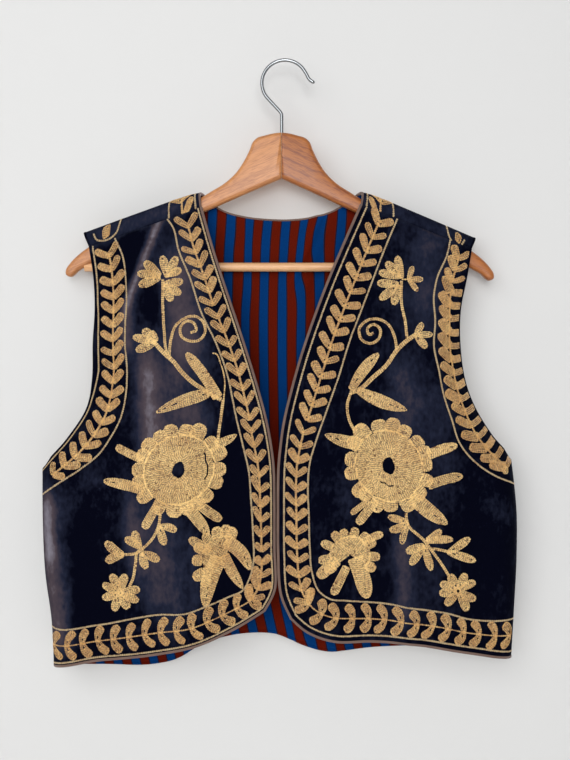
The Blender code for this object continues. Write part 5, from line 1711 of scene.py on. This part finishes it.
class WAISTCOAT_OT_hook(bpy.types.Operator):
    """Make the hanger's wire hook"""

    bl_idname = "waistcoat.hook"
    bl_label = "Hook"

    def execute(self, context):
        make_hook(context.scene.waistcoat)
        return {"FINISHED"}


class WAISTCOAT_OT_bindings(bpy.types.Operator):
    """Make the tapes that bind the edges, neck, hem and armholes"""

    bl_idname = "waistcoat.bindings"
    bl_label = "Bindings"

    def execute(self, context):
        make_bindings(context.scene.waistcoat)
        return {"FINISHED"}


class WAISTCOAT_OT_embroidery(bpy.types.Operator):
    """Work the chain stitch on the fronts and the back"""

    bl_idname = "waistcoat.embroidery"
    bl_label = "Embroidery"

    def execute(self, context):
        for side in ("right", "left"):
            embroider_front(side, context.scene.waistcoat)
        embroider_back(context.scene.waistcoat)
        return {"FINISHED"}


class WAISTCOAT_OT_fronts(bpy.types.Operator):
    """Make the velvet and lining of both fronts, after what is sewn to them"""

    bl_idname = "waistcoat.fronts"
    bl_label = "Fronts"

    def execute(self, context):
        for side in ("right", "left"):
            make_front(side, context.scene.waistcoat)
        return {"FINISHED"}


class WAISTCOAT_OT_back(bpy.types.Operator):
    """Make the back's velvet and its striped lining, after what is sewn to them"""

    bl_idname = "waistcoat.back"
    bl_label = "Back"

    def execute(self, context):
        make_back(context.scene.waistcoat)
        return {"FINISHED"}


PIECES = (
    WAISTCOAT_OT_stage,
    WAISTCOAT_OT_hanger,
    WAISTCOAT_OT_hook,
    WAISTCOAT_OT_bindings,
    WAISTCOAT_OT_embroidery,
    WAISTCOAT_OT_fronts,
    WAISTCOAT_OT_back,
)


class WAISTCOAT_PT_pieces(bpy.types.Panel):
    """Lists the waistcoat's pieces and what can be changed about them"""

    bl_label = "Waistcoat"
    bl_space_type = "VIEW_3D"
    bl_region_type = "UI"
    bl_category = "Waistcoat"

    def draw(self, context):
        for made in PIECES:
            self.layout.operator(made.bl_idname)
        for name in WaistcoatSettings.__annotations__:
            self.layout.prop(context.scene.waistcoat, name)


def register():
    for made in (WaistcoatSettings, *PIECES, WAISTCOAT_PT_pieces):
        bpy.utils.register_class(made)
    bpy.types.Scene.waistcoat = bpy.props.PointerProperty(type=WaistcoatSettings)


def unregister():
    del bpy.types.Scene.waistcoat
    for made in (WAISTCOAT_PT_pieces, *reversed(PIECES), WaistcoatSettings):
        bpy.utils.unregister_class(made)


def main():
    """Registers the add-on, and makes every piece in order."""
    register()
    bpy.ops.waistcoat.stage()
    bpy.ops.waistcoat.hanger()
    bpy.ops.waistcoat.hook()
    bpy.ops.waistcoat.bindings()
    bpy.ops.waistcoat.embroidery()
    bpy.ops.waistcoat.fronts()
    bpy.ops.waistcoat.back()


if __name__ == "__main__":
    main()
